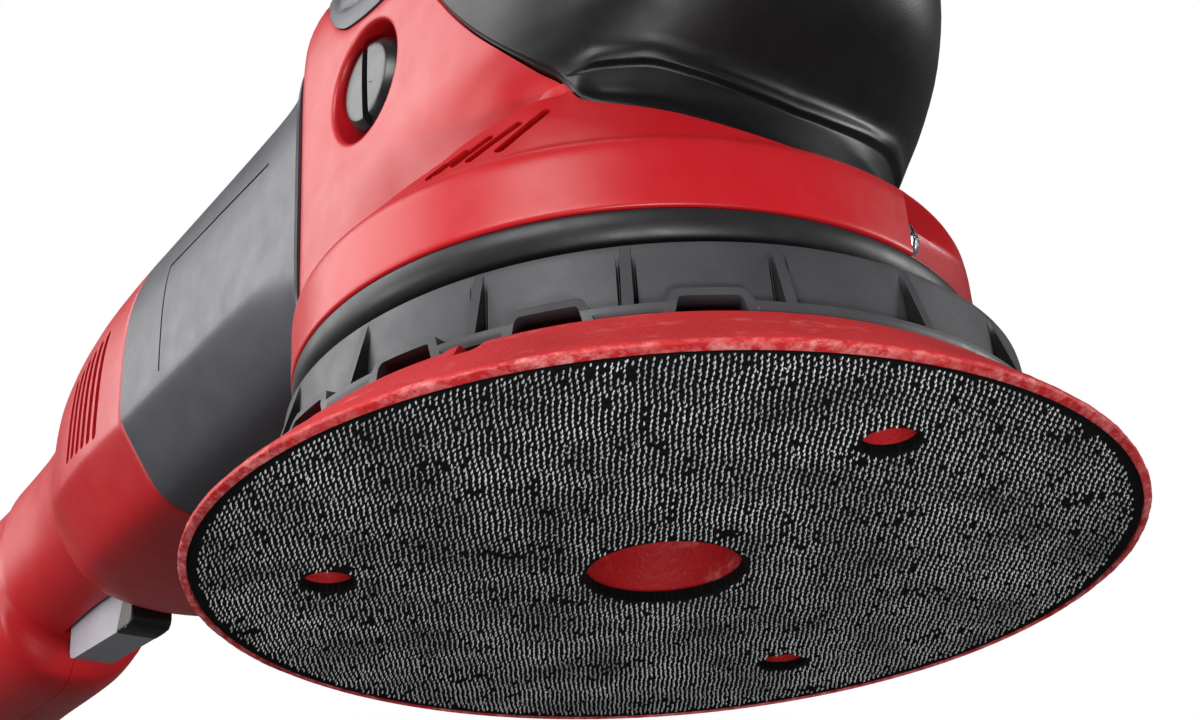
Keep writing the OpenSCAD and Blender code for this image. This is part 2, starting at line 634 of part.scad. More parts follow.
hook_face();
foam_pad();
backing_plate();
pad_arbor();
arbor_circlip();
pad_washer();
pad_bolt();
spindle();
eccentric_hub();
counterweight();
pad_bearing();
crown_gear();
armature_shaft();
drive_pinion();
cooling_fan();
armature_core();
armature_windings();
commutator();
gear_head();
guard_ring();
front_hood();
top_cover();
gear_case();
bearing_plate();
case_screws();
spindle_bearing_lower();
spindle_bearing_upper();
armature_bearing_front();
armature_bearing_rear();
socket_cap_right();
socket_cap_left();
skirt_screw();
motor_housing();
fan_baffle();
stator_core();
field_coils();
rear_bracket();
brush_holders();
carbon_brushes();
brush_springs();
rear_shell_right();
rear_shell_left();
shell_screws();
electronics_module();
dial_axle();
speed_dial();
switch_module();
trigger_pin();
trigger();
trigger_spring();
lock_button();
noise_filter();
cable_clamp();
clamp_screws();
cable_gland();
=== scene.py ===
"""Looks of a right-angle random-orbit sander: its housings, its worn foam pad with a hook face, its controls
and its finishes.

Lengths are millimetres in the tool's own frame: x runs forward from the drive axis, y sideways from the tool's
middle and z up from the sanding face. The pad's axis stands ORBIT to one side of the drive axis.
"""
import json

import bpy
import numpy as np
from mathutils import Matrix, Vector


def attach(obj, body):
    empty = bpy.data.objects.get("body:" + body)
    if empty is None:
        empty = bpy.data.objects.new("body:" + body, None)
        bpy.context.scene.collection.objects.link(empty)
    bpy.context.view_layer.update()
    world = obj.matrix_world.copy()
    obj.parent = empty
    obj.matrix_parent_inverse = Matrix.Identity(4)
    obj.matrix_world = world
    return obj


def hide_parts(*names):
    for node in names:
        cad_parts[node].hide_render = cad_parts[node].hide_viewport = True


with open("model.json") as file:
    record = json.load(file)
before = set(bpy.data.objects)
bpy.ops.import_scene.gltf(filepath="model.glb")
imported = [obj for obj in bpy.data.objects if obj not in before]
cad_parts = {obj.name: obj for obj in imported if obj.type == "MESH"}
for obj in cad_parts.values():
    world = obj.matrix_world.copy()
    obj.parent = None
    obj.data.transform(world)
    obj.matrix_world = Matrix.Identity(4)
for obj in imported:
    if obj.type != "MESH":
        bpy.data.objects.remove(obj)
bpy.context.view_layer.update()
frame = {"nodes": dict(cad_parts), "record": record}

MM = 0.001
ORBIT = 2.5
WELD = 1e-4
FACE_TOP = 1.8
FOAM_TOP = 10.0
FOAM_R = 63.39
CENTRE_HOLE_R = 10.5
DUST_R = 3.45
DUST_CIRCLE_R = 44.5
DUST_ANGLES = np.radians([-0.8, 119.2, 239.2])
RIBS = 18
RIB_PHASE = -0.4
HEAD_REAR = -33.0
SEAM_ANGLE = 85.3
SEAM_GAP = 0.35
CROWN_Z = 119.6
MOTOR_Z = 77.0
SOCKET = (-12, 0, 74.6)
LOCK = (-192, 0, 80)
DIAL = (-160, 0, 97)
GLAND_FACE = (-336, 0, MOTOR_Z)
FLOOR_Z = -0.16
rng = np.random.default_rng(7)


# ---------- curves and forms ----------

def through(x, knots):
    """Smooth curve through the knots, read at x: cubic pieces whose slope at a knot is the harmonic mean of the
    slopes on its two sides, and level where these differ in sign."""
    table = np.asarray(knots, float)
    at, value = table[:, 0], table[:, 1:]
    step = np.diff(at)[:, None]
    chord = np.diff(value, axis=0) / step
    slope = np.zeros_like(value)
    same = chord[:-1] * chord[1:] > 0
    total = np.where(same, chord[:-1] + chord[1:], 1.0)
    slope[1:-1] = np.where(same, 2 * chord[:-1] * chord[1:] / total, 0.0)
    slope[0], slope[-1] = chord[0], chord[-1]
    x = np.clip(np.asarray(x, float), at[0], at[-1])
    i = np.clip(np.searchsorted(at, x, side="right") - 1, 0, len(at) - 2)
    t = ((x - at[i]) / (at[i + 1] - at[i]))[..., None]
    h = step[i]
    out = ((1 + 2 * t) * (1 - t) ** 2 * value[i] + t * (1 - t) ** 2 * h * slope[i]
           + t * t * (3 - 2 * t) * value[i + 1] + t * t * (t - 1) * h * slope[i + 1])
    return out[..., 0] if value.shape[1] == 1 else out


def ease(x, low, high):
    """0 below low, 1 above high, and 3t^2 - 2t^3 between them."""
    t = np.clip((np.asarray(x, float) - low) / (high - low), 0, 1)
    return t * t * (3 - 2 * t)


def rounded(line, passes=2, ring=False):
    """Corner cutting along the first axis: each pass swaps a corner for two points, a quarter of the way along
    its two sides. An open line keeps its ends."""
    line = np.asarray(line, float)
    for _ in range(passes):
        after = np.roll(line, -1, axis=0) if ring else line[1:]
        here = line if ring else line[:-1]
        cut = np.stack([0.75 * here + 0.25 * after, 0.25 * here + 0.75 * after], axis=1)
        cut = cut.reshape(-1, *line.shape[1:])
        line = cut if ring else np.concatenate([line[:1], cut, line[-1:]])
    return line


def grid_faces(rows, cols, ring_rows, ring_cols):
    """Four-cornered faces between neighbouring rows and columns of a grid."""
    r = np.arange(rows if ring_rows else rows - 1)
    c = np.arange(cols if ring_cols else cols - 1)
    a, b = np.meshgrid(r, c, indexing="ij")
    a2, b2 = (a + 1) % rows, (b + 1) % cols
    return np.stack([a * cols + b, a * cols + b2, a2 * cols + b2, a2 * cols + b], -1).reshape(-1, 4)


def welded(points, faces):
    """Points closer than WELD become one, and faces lose the corners that fall together."""
    _, first, back = np.unique(np.round(points / WELD).astype(np.int64), axis=0,
                               return_index=True, return_inverse=True)
    points, faces = points[first], back.reshape(-1)[faces]
    keep = faces != np.roll(faces, 1, axis=1)
    corners = keep.sum(axis=1)
    triangles = faces[corners == 3][keep[corners == 3]].reshape(-1, 3)
    return points, faces[corners == 4], triangles


def outward(points, quads, triangles):
    """Turns all faces over if the volume that they close is negative."""
    fans = np.concatenate([quads[:, [0, 1, 2]], quads[:, [0, 2, 3]], triangles])
    a, b, c = (points[fans[:, k]] for k in range(3))
    if np.einsum("ij,ij->", a, np.cross(b, c)) < 0:
        quads, triangles = quads[:, ::-1], triangles[:, ::-1]
    return points, quads, triangles


def form(grid, ring_rows=False, ring_cols=False):
    """A closed form from one grid of points that closes on itself, or at its poles."""
    rows, cols = grid.shape[:2]
    return outward(*welded(grid.reshape(-1, 3), grid_faces(rows, cols, ring_rows, ring_cols)))


def shell(outer, inner):
    """A closed wall between two grids of the same size, joined all round their edges."""
    rows, cols = outer.shape[:2]
    n = rows * cols
    faces = [grid_faces(rows, cols, False, False)]
    faces.append(faces[0][:, ::-1] + n)
    edge = np.concatenate([np.arange(cols), np.arange(1, rows) * cols + cols - 1,
                           (rows - 1) * cols + np.arange(cols - 2, -1, -1), np.arange(rows - 2, 0, -1) * cols])
    after = np.roll(edge, -1)
    faces.append(np.stack([after, edge, edge + n, after + n], -1))
    points = np.concatenate([outer.reshape(-1, 3), inner.reshape(-1, 3)])
    return outward(*welded(points, np.concatenate(faces)))


def turned(profile, columns=128):
    """Profile of (distance from the axis, height) carried round Z: x = d cos a, y = d sin a, z = height."""
    profile = np.asarray(profile, float)
    a = np.linspace(0, 2 * np.pi, columns, endpoint=False)
    d, z = profile[:, :1], profile[:, 1:]
    return np.stack([d * np.cos(a), d * np.sin(a), z + 0 * a], -1)


def knob(profile, columns=96, passes=2):
    """A turned form whose profile starts and ends on the axis, with its corners cut."""
    return form(turned(rounded(profile, passes), columns), ring_cols=True)


def collar(profile, columns=128, passes=2):
    """A turned form with a hole: its profile is a closed line, with its corners cut."""
    return form(turned(rounded(profile, passes, ring=True), columns), ring_rows=True, ring_cols=True)


def prism(outline, low, high):
    """The outline of (x, z) points carried along Y from low to high, with flat ends."""
    outline = np.asarray(outline, float)
    middle = outline.mean(axis=0)
    rows = [(middle + 0 * outline, low), (outline, low), (outline, high), (middle + 0 * outline, high)]
    grid = np.stack([np.stack([o[:, 0], np.full(len(o), y), o[:, 1]], -1) for o, y in rows])
    return form(grid, ring_cols=True)


def capsule(start, end, radius, flat=1.0, sides=16):
    """A rod with round ends from start to end: circles whose radius follows a half circle at either end."""
    start, end = np.asarray(start, float), np.asarray(end, float)
    along = end - start
    length = np.linalg.norm(along)
    along = along / length
    side = np.cross(along, [0, 0, 1.0])
    side /= np.linalg.norm(side)
    third = np.cross(along, side)
    turn = np.linspace(0, np.pi / 2, 6)
    reach = np.concatenate([-radius * np.cos(turn), length + radius * np.sin(turn)])
    size = np.concatenate([radius * np.sin(turn), radius * np.cos(turn)])
    a = np.linspace(0, 2 * np.pi, sides, endpoint=False)
    ring = side * np.cos(a)[:, None] * flat + third * np.sin(a)[:, None]
    return form(start + reach[:, None, None] * along + size[:, None, None] * ring, ring_cols=True)


def moved(shape, turn=None, by=(0, 0, 0)):
    """A form turned by a 3x3 matrix and then shifted."""
    points, quads, triangles = shape
    if turn is not None:
        points = points @ np.asarray(turn, float).T
    return outward(points + np.asarray(by, float), quads, triangles)


Z_TO_X = np.array([[0, 0, 1], [0, 1, 0], [-1, 0, 0]])
Z_TO_Y = np.array([[1, 0, 0], [0, 0, 1], [0, -1, 0]])


def about_z(degrees):
    """The matrix that turns by an angle about Z."""
    c, s = np.cos(np.radians(degrees)), np.sin(np.radians(degrees))
    return np.array([[c, -s, 0], [s, c, 0], [0, 0, 1]])


def sideways(side):
    """The matrix that lays Z along Y, to the right where side is -1 and to the left where it is 1."""
    return Z_TO_Y * np.array([[1], [side], [1]])


# ---------- pieces ----------

def mesh_of(name, shapes, on_pad=False):
    """One mesh in metres from several forms. A form of the pad keeps its axis, and the rest moves by ORBIT."""
    points, polygons, start = [], [], 0
    for where, quads, triangles in shapes:
        points.append(where)
        polygons += (quads + start).tolist() + (triangles + start).tolist()
        start += len(where)
    co = np.concatenate(points) - np.array([0, 0 if on_pad else ORBIT, 0])
    mesh = bpy.data.meshes.new(name)
    mesh.from_pydata((co * MM).tolist(), [], polygons)
    mesh.validate()
    return mesh


def carved(piece, cutters, joined=(), on_pad=False):
    """The piece with some forms joined to it and others cut out of it."""
    for operation, shapes in (("UNION", joined), ("DIFFERENCE", cutters)):
        for shape in shapes:
            tool = bpy.data.objects.new("tool", mesh_of("tool", [shape], on_pad))
            bpy.context.scene.collection.objects.link(tool)
            cut = piece.modifiers.new("cut", "BOOLEAN")
            cut.operation, cut.solver, cut.object = operation, "MANIFOLD", tool
    bpy.context.view_layer.update()
    graph = bpy.context.evaluated_depsgraph_get()
    result = bpy.data.meshes.new_from_object(piece.evaluated_get(graph))
    tools = [m.object for m in piece.modifiers]
    piece.modifiers.clear()
    old, piece.data = piece.data, result
    bpy.data.meshes.remove(old)
    for tool in tools:
        bpy.data.objects.remove(tool)
    return piece


def piece(name, shapes, finish, slot, body, stands_for=(), on_pad=False, cutters=(), joined=(), sharp=38):
    """One visible piece: its forms, its finish, the body it rides on and the plain parts it stands for."""
    made = bpy.data.objects.new(name, mesh_of(name, shapes, on_pad))
    bpy.context.scene.collection.objects.link(made)
    if cutters or joined:
        carved(made, cutters, joined, on_pad)
    made.data.name = name
    made.data.materials.clear()
    made.data.materials.append(finish)
    made.data.shade_smooth()
    made.data.set_sharp_from_angle(angle=np.radians(sharp))
    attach(made, body)
    if stands_for:
        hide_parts(*stands_for)
    return made


def eased_edges(made, width, segments=2, angle=55):
    """Rounds the sharp edges of a piece with a live bevel."""
    for edge in made.data.edges:
        edge.use_edge_sharp = False
    bevel = made.modifiers.new("eased edges", "BEVEL")
    bevel.width, bevel.segments = width * MM, segments
    bevel.limit_method, bevel.angle_limit = "ANGLE", np.radians(angle)
    bevel.harden_normals = True
    bevel.use_clamp_overlap = True
    return made


# ---------- finishes ----------

def node(tree, kind, values=None, **settings):
    """A shader node with its settings, and its inputs given as numbers or as other nodes' outputs."""
    made = tree.nodes.new("ShaderNode" + kind)
    for key, value in settings.items():
        setattr(made, key, value)
    for key, value in (values or {}).items():
        if isinstance(value, bpy.types.NodeSocket):
            tree.links.new(value, made.inputs[key])
        else:
            made.inputs[key].default_value = value
    return made


def linear(colour):
    """A screen colour of three numbers from 0 to 255, as light."""
    c = np.asarray(colour, float) / 255
    return (*np.where(c <= 0.04045, c / 12.92, ((c + 0.055) / 1.055) ** 2.4), 1.0)


def blank(name, **surface):
    """A new material: its node tree, its surface shader and the object's own coordinates."""
    material = bpy.data.materials.new(name)
    material.use_nodes = True
    tree = material.node_tree
    shader = tree.nodes["Principled BSDF"]
    for key, value in surface.items():
        shader.inputs[key.replace("_", " ")].default_value = value
    return material, tree, shader, node(tree, "TexCoord").outputs["Object"]


def noise(tree, where, size, detail=2.0, rough=0.5, **more):
    """Noise whose features are size millimetres wide."""
    values = {"Vector": where, "Scale": 1 / (size * MM), "Detail": detail, "Roughness": rough, **more}
    return node(tree, "TexNoise", values).outputs["Fac"]


def spread(tree, value, low, high, out_low, out_high):
    """A value carried from one range to another, held at the ends."""
    values = {"Value": value, "From Min": low, "From Max": high, "To Min": out_low, "To Max": out_high}
    return node(tree, "MapRange", values, clamp=True).outputs["Result"]


def mixed(tree, share, first, second):
    """Two colours mixed by a share."""
    return node(tree, "Mix", {0: share, 6: first, 7: second}, data_type="RGBA").outputs[2]


def bumped(tree, shader, height, depth, strength=1.0):
    """Height in shares of depth millimetres, laid on the surface as a bump."""
    values = {"Height": height, "Distance": depth * MM, "Strength": strength}
    tree.links.new(node(tree, "Bump", values).outputs["Normal"], shader.inputs["Normal"])


def moulded(name, colour, rough, grain=0.35, depth=0.02, worn=None, **surface):
    """Moulded plastic or rubber: cloudy colour, a fine spark-eroded grain and faint rubbed patches."""
    material, tree, shader, where = blank(name, **surface)
    base = np.array(linear(colour))
    pale = np.array(linear(worn if worn else np.minimum(255, np.asarray(colour) * 1.12 + 6)))
    clouds = noise(tree, where, 38, 3)
    tone = mixed(tree, spread(tree, clouds, 0.35, 0.7, 0, 1), tuple(base * [0.93, 0.93, 0.93, 1]), tuple(base))
    rubbed = spread(tree, noise(tree, where, 9, 5, 0.62), 0.56, 0.8, 0, 0.35)
    tree.links.new(mixed(tree, rubbed, tone, tuple(pale)), shader.inputs["Base Color"])
    fine = noise(tree, where, grain, 2, 0.6)
    tree.links.new(spread(tree, noise(tree, where, 5, 4, 0.6), 0.3, 0.75, rough - 0.05, rough + 0.07),
                   shader.inputs["Roughness"])
    bumped(tree, shader, fine, depth)
    return material


def metal(name, colour, rough, stretch=(1, 1, 12), size=0.6, depth=0.006, **surface):
    """Machined metal: fine turning marks stretched one way, smudges and a varied gloss."""
    material, tree, shader, where = blank(name, Metallic=1.0, **surface)
    marks = node(tree, "Mapping", {"Vector": where, "Scale": stretch}).outputs["Vector"]
    lines = noise(tree, marks, size, 3, 0.6)
    smudge = noise(tree, where, 11, 4, 0.6)
    base = np.array(linear(colour))
    tree.links.new(mixed(tree, spread(tree, smudge, 0.4, 0.75, 0, 1), tuple(base),
                         tuple(base * [0.72, 0.72, 0.72, 1])), shader.inputs["Base Color"])
    tree.links.new(spread(tree, lines, 0.3, 0.7, rough - 0.06, rough + 0.1), shader.inputs["Roughness"])
    bumped(tree, shader, lines, depth)
    return material


def foam_finish():
    """Closed-cell foam: saturated red with smears and pits, rubbed paler round its lowest band."""
    material, tree, shader, where = blank("worn red foam", Specular_IOR_Level=0.3)
    parts = node(tree, "SeparateXYZ", {"Vector": where})
    high = parts.outputs["Z"]
    stretched = node(tree, "Mapping", {"Vector": where, "Scale": (1, 1, 2.2)}).outputs["Vector"]
    smears = noise(tree, stretched, 8.0, 6, 0.66)
    scuffs = noise(tree, stretched, 1.9, 5, 0.7)
    edge = spread(tree, high, 0.75 * MM, 1.3 * MM, 0.24, 0.0)
    sum_up = node(tree, "Math", {0: smears, 1: edge}, operation="ADD").outputs[0]
    worn = spread(tree, sum_up, 0.53, 0.76, 0, 1)
    speckle = spread(tree, scuffs, 0.42, 0.66, 0, 1)
    patch = node(tree, "Math", {0: worn, 1: speckle}, operation="MULTIPLY").outputs[0]
    base = mixed(tree, spread(tree, noise(tree, where, 24, 2), 0.35, 0.65, 0, 1),
                 linear((176, 22, 28)), linear((204, 40, 44)))
    tone = mixed(tree, patch, base, linear((236, 140, 138)))
    tree.links.new(tone, shader.inputs["Base Color"])
    tree.links.new(spread(tree, scuffs, 0.3, 0.7, 0.5, 0.8), shader.inputs["Roughness"])
    cells = node(tree, "TexVoronoi", {"Vector": where, "Scale": 1 / (0.55 * MM)}).outputs["Distance"]
    rough = node(tree, "Math", {0: cells, 1: scuffs}, operation="ADD").outputs[0]
    bumped(tree, shader, rough, 0.09, 0.8)
    return material


def shroud_finish():
    """Dark moulded shroud: satin charcoal, with painted shade that takes it to black in its slots and windows, set
    by the recess attribute.
    """
    material, tree, shader, where = blank("charcoal shroud")
    # the recess attribute is painted shade: 1 where shade falls in the windows, beside the frames and in the
    # grooves
    deep = node(tree, "Attribute", attribute_name="recess").outputs["Fac"]
    clouds = spread(tree, noise(tree, where, 16, 4, 0.6), 0.35, 0.7, 0, 1)
    tone = mixed(tree, clouds, linear((60, 60, 64)), linear((72, 72, 76)))
    # painted shade: the base colour is mixed to near black by the recess attribute
    tree.links.new(mixed(tree, deep, tone, linear((2, 2, 2))), shader.inputs["Base Color"])
    satin = spread(tree, noise(tree, where, 3, 4), 0.3, 0.7, 0.4, 0.52)
    rough = node(tree, "Math", {0: satin, 1: deep}, operation="MAXIMUM").outputs[0]
    tree.links.new(rough, shader.inputs["Roughness"])
    bumped(tree, shader, noise(tree, where, 0.3, 2, 0.6), 0.015)
    return material


def felt_finish():
    """Black knitted backing: a fine over-and-under weave along the rows of hooks."""
    material, tree, shader, where = blank("black knitted backing", Roughness=0.9, Specular_IOR_Level=0.2)
    turned_way = node(tree, "Mapping", {"Vector": where, "Rotation": (0, 0, np.radians(36))}).outputs["Vector"]
    across = node(tree, "TexWave", {"Vector": turned_way, "Scale": 0.31 / (0.8 * MM), "Distortion": 1.2,
                                    "Detail": 2.0}, bands_direction="Y").outputs["Fac"]
    along = node(tree, "TexWave", {"Vector": turned_way, "Scale": 0.31 / (1.4 * MM), "Distortion": 1.5,
                                   "Detail": 2.0}, bands_direction="X").outputs["Fac"]
    weave = node(tree, "Math", {0: across, 1: along}, operation="MULTIPLY").outputs[0]
    out = node(tree, "VectorMath", {0: where}, operation="LENGTH").outputs["Value"]
    field = spread(tree, out, 60.6 * MM, 60.9 * MM, 1, 0)
    weave = node(tree, "Math", {0: weave, 1: field}, operation="MULTIPLY").outputs[0]
    tone = mixed(tree, spread(tree, weave, 0.2, 0.9, 0, 1), linear((2, 2, 3)), linear((13, 13, 14)))
    tree.links.new(tone, shader.inputs["Base Color"])
    bumped(tree, shader, weave, 0.12)
    return material


def hook_finish():
    """Clear nylon hooks: pale and glossy, a few of them dulled with dust."""
    material, tree, shader, where = blank("nylon hooks", IOR=1.53, Specular_IOR_Level=0.8)
    dust = spread(tree, noise(tree, where, 14, 4, 0.6), 0.36, 0.66, 0, 1)
    tone = mixed(tree, dust, linear((150, 150, 152)), linear((238, 238, 240)))
    tree.links.new(tone, shader.inputs["Base Color"])
    tree.links.new(spread(tree, noise(tree, where, 1.1, 2), 0.3, 0.7, 0.18, 0.42), shader.inputs["Roughness"])
    return material


RED = moulded("red housing plastic", (196, 24, 33), 0.36, 0.3, 0.010, worn=(208, 44, 50), Specular_IOR_Level=0.5)
RUBBER = moulded("black moulded rubber", (12, 12, 13), 0.42, 0.28, 0.012, worn=(17, 17, 18),
                 Specular_IOR_Level=0.5)
RING_RUBBER = moulded("charcoal ring rubber", (32, 32, 34), 0.42, 0.3, 0.014)
GREY = moulded("dark grey housing plastic", (70, 71, 78), 0.38, 0.3, 0.012)
COVER = moulded("slate cover plastic", (84, 86, 92), 0.40, 0.3, 0.012)
GLOSS = moulded("polished black plastic", (26, 26, 28), 0.34, 0.8, 0.002, Coat_Weight=0.15, Coat_Roughness=0.2)
TRIGGER_GREY = moulded("satin trigger plastic", (150, 150, 158), 0.36, 0.35, 0.012)
SATIN_BLACK = moulded("satin black plastic", (26, 26, 28), 0.40, 0.35, 0.014)
BRIGHT = metal("plated screw steel", (214, 214, 218), 0.22, (1, 1, 1), 0.5)
FOAM, SHROUD, FELT, HOOKS = foam_finish(), shroud_finish(), felt_finish(), hook_finish()


# ---------- the pad ----------

def dust_plugs(low, high, radius):
    """Rods where the three dust holes go."""
    rod = knob([(0, low), (radius, low), (radius, high), (0, high)], 40, passes=0)
    return [moved(rod, by=(DUST_CIRCLE_R * np.cos(a), DUST_CIRCLE_R * np.sin(a), 0)) for a in DUST_ANGLES]


def hook_face():
    """The black sheet that carries the hooks: a flat disc with a smooth rolled rim and rolled hole edges."""
    profile = [(CENTRE_HOLE_R, FACE_TOP), (CENTRE_HOLE_R, 0.6), (10.8, 0.4), (11.4, 0.55), (60.7, 0.6),
               (61.1, 0.4), (61.7, 0.3), (62.1, 0.4), (62.2, 0.7), (62.2, FACE_TOP)]
    return piece("hook_sheet", [form(turned(profile, 300), ring_rows=True, ring_cols=True)], FELT, "hook_fabric",
                 "pad", ["hook_face"], on_pad=True, cutters=dust_plugs(-1, 3, DUST_R))


def hook_rows():
    """Thousands of tiny nylon hooks: arches of a three-sided rod, whose feet stand in the sheet. They stand in
    rows row_gap apart that wander by two sine waves, a hook_gap from each other along a row. A few small
    stray ones lie between them, and some are missing where the field is trodden."""
    row_gap, hook_gap, slant = 0.72, 1.22, np.radians(-36)
    v, u = np.meshgrid(np.arange(-62, 62, row_gap), np.arange(-62, 62, hook_gap), indexing="ij")
    u = u + (np.arange(len(u)) % 2)[:, None] * hook_gap / 2
    wander = 0.10 * np.sin(u * 0.55 + v * 0.21) + 0.06 * np.sin(u * 1.7 + 1.3 * np.sin(v * 0.4))
    u = (u + rng.normal(0, 0.08, u.shape)).ravel()
    v = (v + wander + rng.normal(0, 0.035, v.shape)).ravel()
    extra = rng.uniform(-62, 62, (900, 2))
    u, v = np.concatenate([u, extra[:, 0]]), np.concatenate([v, extra[:, 1]])
    small = np.arange(len(u)) >= len(u) - len(extra)
    x, y = u * np.cos(slant) - v * np.sin(slant), u * np.sin(slant) + v * np.cos(slant)
    radius = np.hypot(x, y)
    keep = (radius < 61.0) & (radius > CENTRE_HOLE_R + 0.6)
    for a in DUST_ANGLES:
        keep &= np.hypot(x - DUST_CIRCLE_R * np.cos(a), y - DUST_CIRCLE_R * np.sin(a)) > DUST_R + 0.5
    trodden = np.sin(x * 0.21 + 2) * np.sin(y * 0.17 - 1) + 0.5 * np.sin(x * 0.5 - y * 0.43)
    keep &= rng.uniform(0, 1, len(x)) > np.where(trodden > 1.05, 0.3, 0.03)
    x, y, small = x[keep], y[keep], small[keep]
    n = len(x)
    tilt = slant + rng.normal(0, np.where(small, 0.9, 0.14), n) + np.where(small, 0, 0.35)
    length = np.where(small, 0.22, 0.29) * rng.uniform(0.7, 1.15, n)
    thick = np.where(small, 0.06, 0.10) * rng.uniform(0.85, 1.15, n)
    drop = np.where(small, 0.3, 0.5) * rng.uniform(0.75, 1.0, n)
    ahead = np.stack([np.cos(tilt), np.sin(tilt), 0 * tilt], -1)
    beside = np.stack([-np.sin(tilt), np.cos(tilt), 0 * tilt], -1)
    foot = np.stack([x, y, np.full(n, 0.72)], -1)
    down = np.array([0, 0, -1.0])
    ring = []
    for share in (-0.5, 0.45):
        top = foot + ahead * (length * share * 1.2)[:, None] + down * drop[:, None]
        ring += [top + down * thick[:, None], top + beside * thick[:, None] * 1.1 - down * thick[:, None] * 0.6,
                 top - beside * thick[:, None] * 1.1 - down * thick[:, None] * 0.6]
    points = np.stack([foot - ahead * length[:, None], *ring, foot + ahead * length[:, None]], 1)
    one = [(0, 2, 1), (0, 3, 2), (0, 1, 3), (7, 4, 5), (7, 5, 6), (7, 6, 4)]
    for a, b in ((1, 2), (2, 3), (3, 1)):
        one += [(a, b, b + 3), (a, b + 3, a + 3)]
    triangles = (np.arange(n)[:, None, None] * 8 + np.array(one)).reshape(-1, 3)
    shape = outward(points.reshape(-1, 3), np.zeros((0, 4), int), triangles)
    return piece("hook_rows", [shape], HOOKS, "hook_fabric", "pad", on_pad=True, sharp=70)


def foam_pad():
    """The foam body: its outer profile carried round, uneven by a sum of sine waves that grows on the rubbed
    slope, with a nick where the upper edge has torn."""
    profile = rounded([(8.0, FOAM_TOP), (8.2, 9.6), (CENTRE_HOLE_R, 2.6), (CENTRE_HOLE_R, FACE_TOP),
                       (36, FACE_TOP), (62.3, FACE_TOP), (62.32, 1.6), (62.32, 0.1), (62.4, 0.04), (63.2, 0.42),
                       (FOAM_R, 0.6), (FOAM_R, 0.9), (63.3, 1.2), (61.5, 2.85), (59.0, 5.1), (56.5, 7.3),
                       (54.6, 9.0), (53.75, 9.72), (53.3, 10.0), (36, FOAM_TOP)], 2, ring=True)
    grid = turned(profile, 900)
    a = np.arctan2(grid[..., 1], grid[..., 0])
    r, z = np.hypot(grid[..., 0], grid[..., 1]), grid[..., 2]
    slope = ease(r, 53, 55) * ease(z, 0.02, 0.3)
    waves = (np.sin(7 * a + 1) + 0.8 * np.sin(19 * a + 2 * z) + 0.6 * np.sin(47 * a - 3 * z + 1)
             + 0.5 * np.sin(113 * a + 5 * z) + 0.4 * np.sin(211 * a - 2 * z))
    degrees = np.degrees(a)
    nick = ease(degrees, -61.0, -60.8) * (1 - ease(degrees, -59.6, -58.2)) * ease(z, 7.6, 8.8) * ease(r, 51, 52.6)
    lug = ease(degrees, -64.2, -62.0) * (1 - ease(degrees, -61.0, -60.8)) * ease(z, 8.2, 9.4) * ease(r, 51, 53.4)
    r = np.minimum(r + slope * 0.045 * waves - 1.5 * nick + 0.55 * lug, FOAM_R)
    z = z - 1.5 * nick
    grid = np.stack([r * np.cos(a), r * np.sin(a), z], -1)
    made = piece("foam_body", [form(grid, ring_rows=True, ring_cols=True)], FOAM, "pad_foam", "pad", ["foam_pad"],
                 on_pad=True, cutters=dust_plugs(0, 12, DUST_R), sharp=60)
    return made


# Height and half angle of a window of the shroud, and of the raised frame round it
WINDOW = [(10, 4.37), (11.7, 3.92), (12.05, 3.75), (12.22, 3.45)]
FRAME = [(10, 5.75), (11.4, 5.35), (12.3, 5.02), (12.9, 4.72), (13.25, 4.35), (13.42, 3.9)]
RIB_HALF, GROOVE_END = 0.7225, 1.31
WINDOW_FIRST, WINDOW_LAST = 9, 17
FLANGE_R, FLANGE_TOP, WINDOW_TOP, FRAME_TOP = 53.2, 11.42, 12.23, 13.44


def shroud_relief(turn, sector, z):
    """Radius and painted shade of the shroud at an angle from the nearest rib, in the sector centred on that rib,
    and a height. A nearly upright wall carries wedge ribs and window frames that reach out to a cone; beside each
    rib runs a split groove. Only the gaps between the ribs WINDOW_FIRST and WINDOW_LAST have a window. The painted
    shade is 1 in the windows and in a thin strip beside each frame, and in the grooves below their top, where
    shade falls."""
    off = 180 / RIBS - np.abs(turn)
    gap = sector + np.where(turn > 0, 0, -1)
    off = np.where((gap >= WINDOW_FIRST) & (gap < WINDOW_LAST), off, 180 / RIBS)
    cone = FLANGE_R - np.maximum(z - 11.4, 0) * 0.305
    wall = np.minimum(50.95 - (z - 11.4) * 0.055, cone)
    taper = np.clip((19.4 - z) / 8, 0, 1)
    rib = np.abs(turn) < RIB_HALF + 0.005
    groove = (np.abs(turn) > RIB_HALF) & (np.abs(turn) < GROOVE_END) & (z > FLANGE_TOP)
    fin = (np.abs(turn) > 1.005) & (np.abs(turn) < 1.065)
    framed = (off < through(z, FRAME) + 0.02) & (z < FRAME_TOP)
    opened = (off < through(z, WINDOW) + 0.02) & (z < WINDOW_TOP)
    r = np.where(rib | framed, cone, wall - 1.5 * taper * groove * ~fin - 0.1 * taper * fin)
    r = np.where((z < FLANGE_TOP) & ~framed, FLANGE_R - 0.25 * ease(z, 10.6, 10.05), r)
    r = np.where(opened, 49.2, r)
    # painted shade: the windows, a thin strip beside each frame and the split grooves beside the ribs are set
    # dark, where shade falls
    beside = (off > through(z, FRAME) + 0.01) & (off < through(z, FRAME) + 0.3) & (z > FLANGE_TOP) & (z < 13.0)
    dark = np.where(opened | beside, 1.0, 0.0)
    dark = np.maximum(dark, (groove & ~fin) * np.clip(taper * 4, 0, 1))
    return r, dark


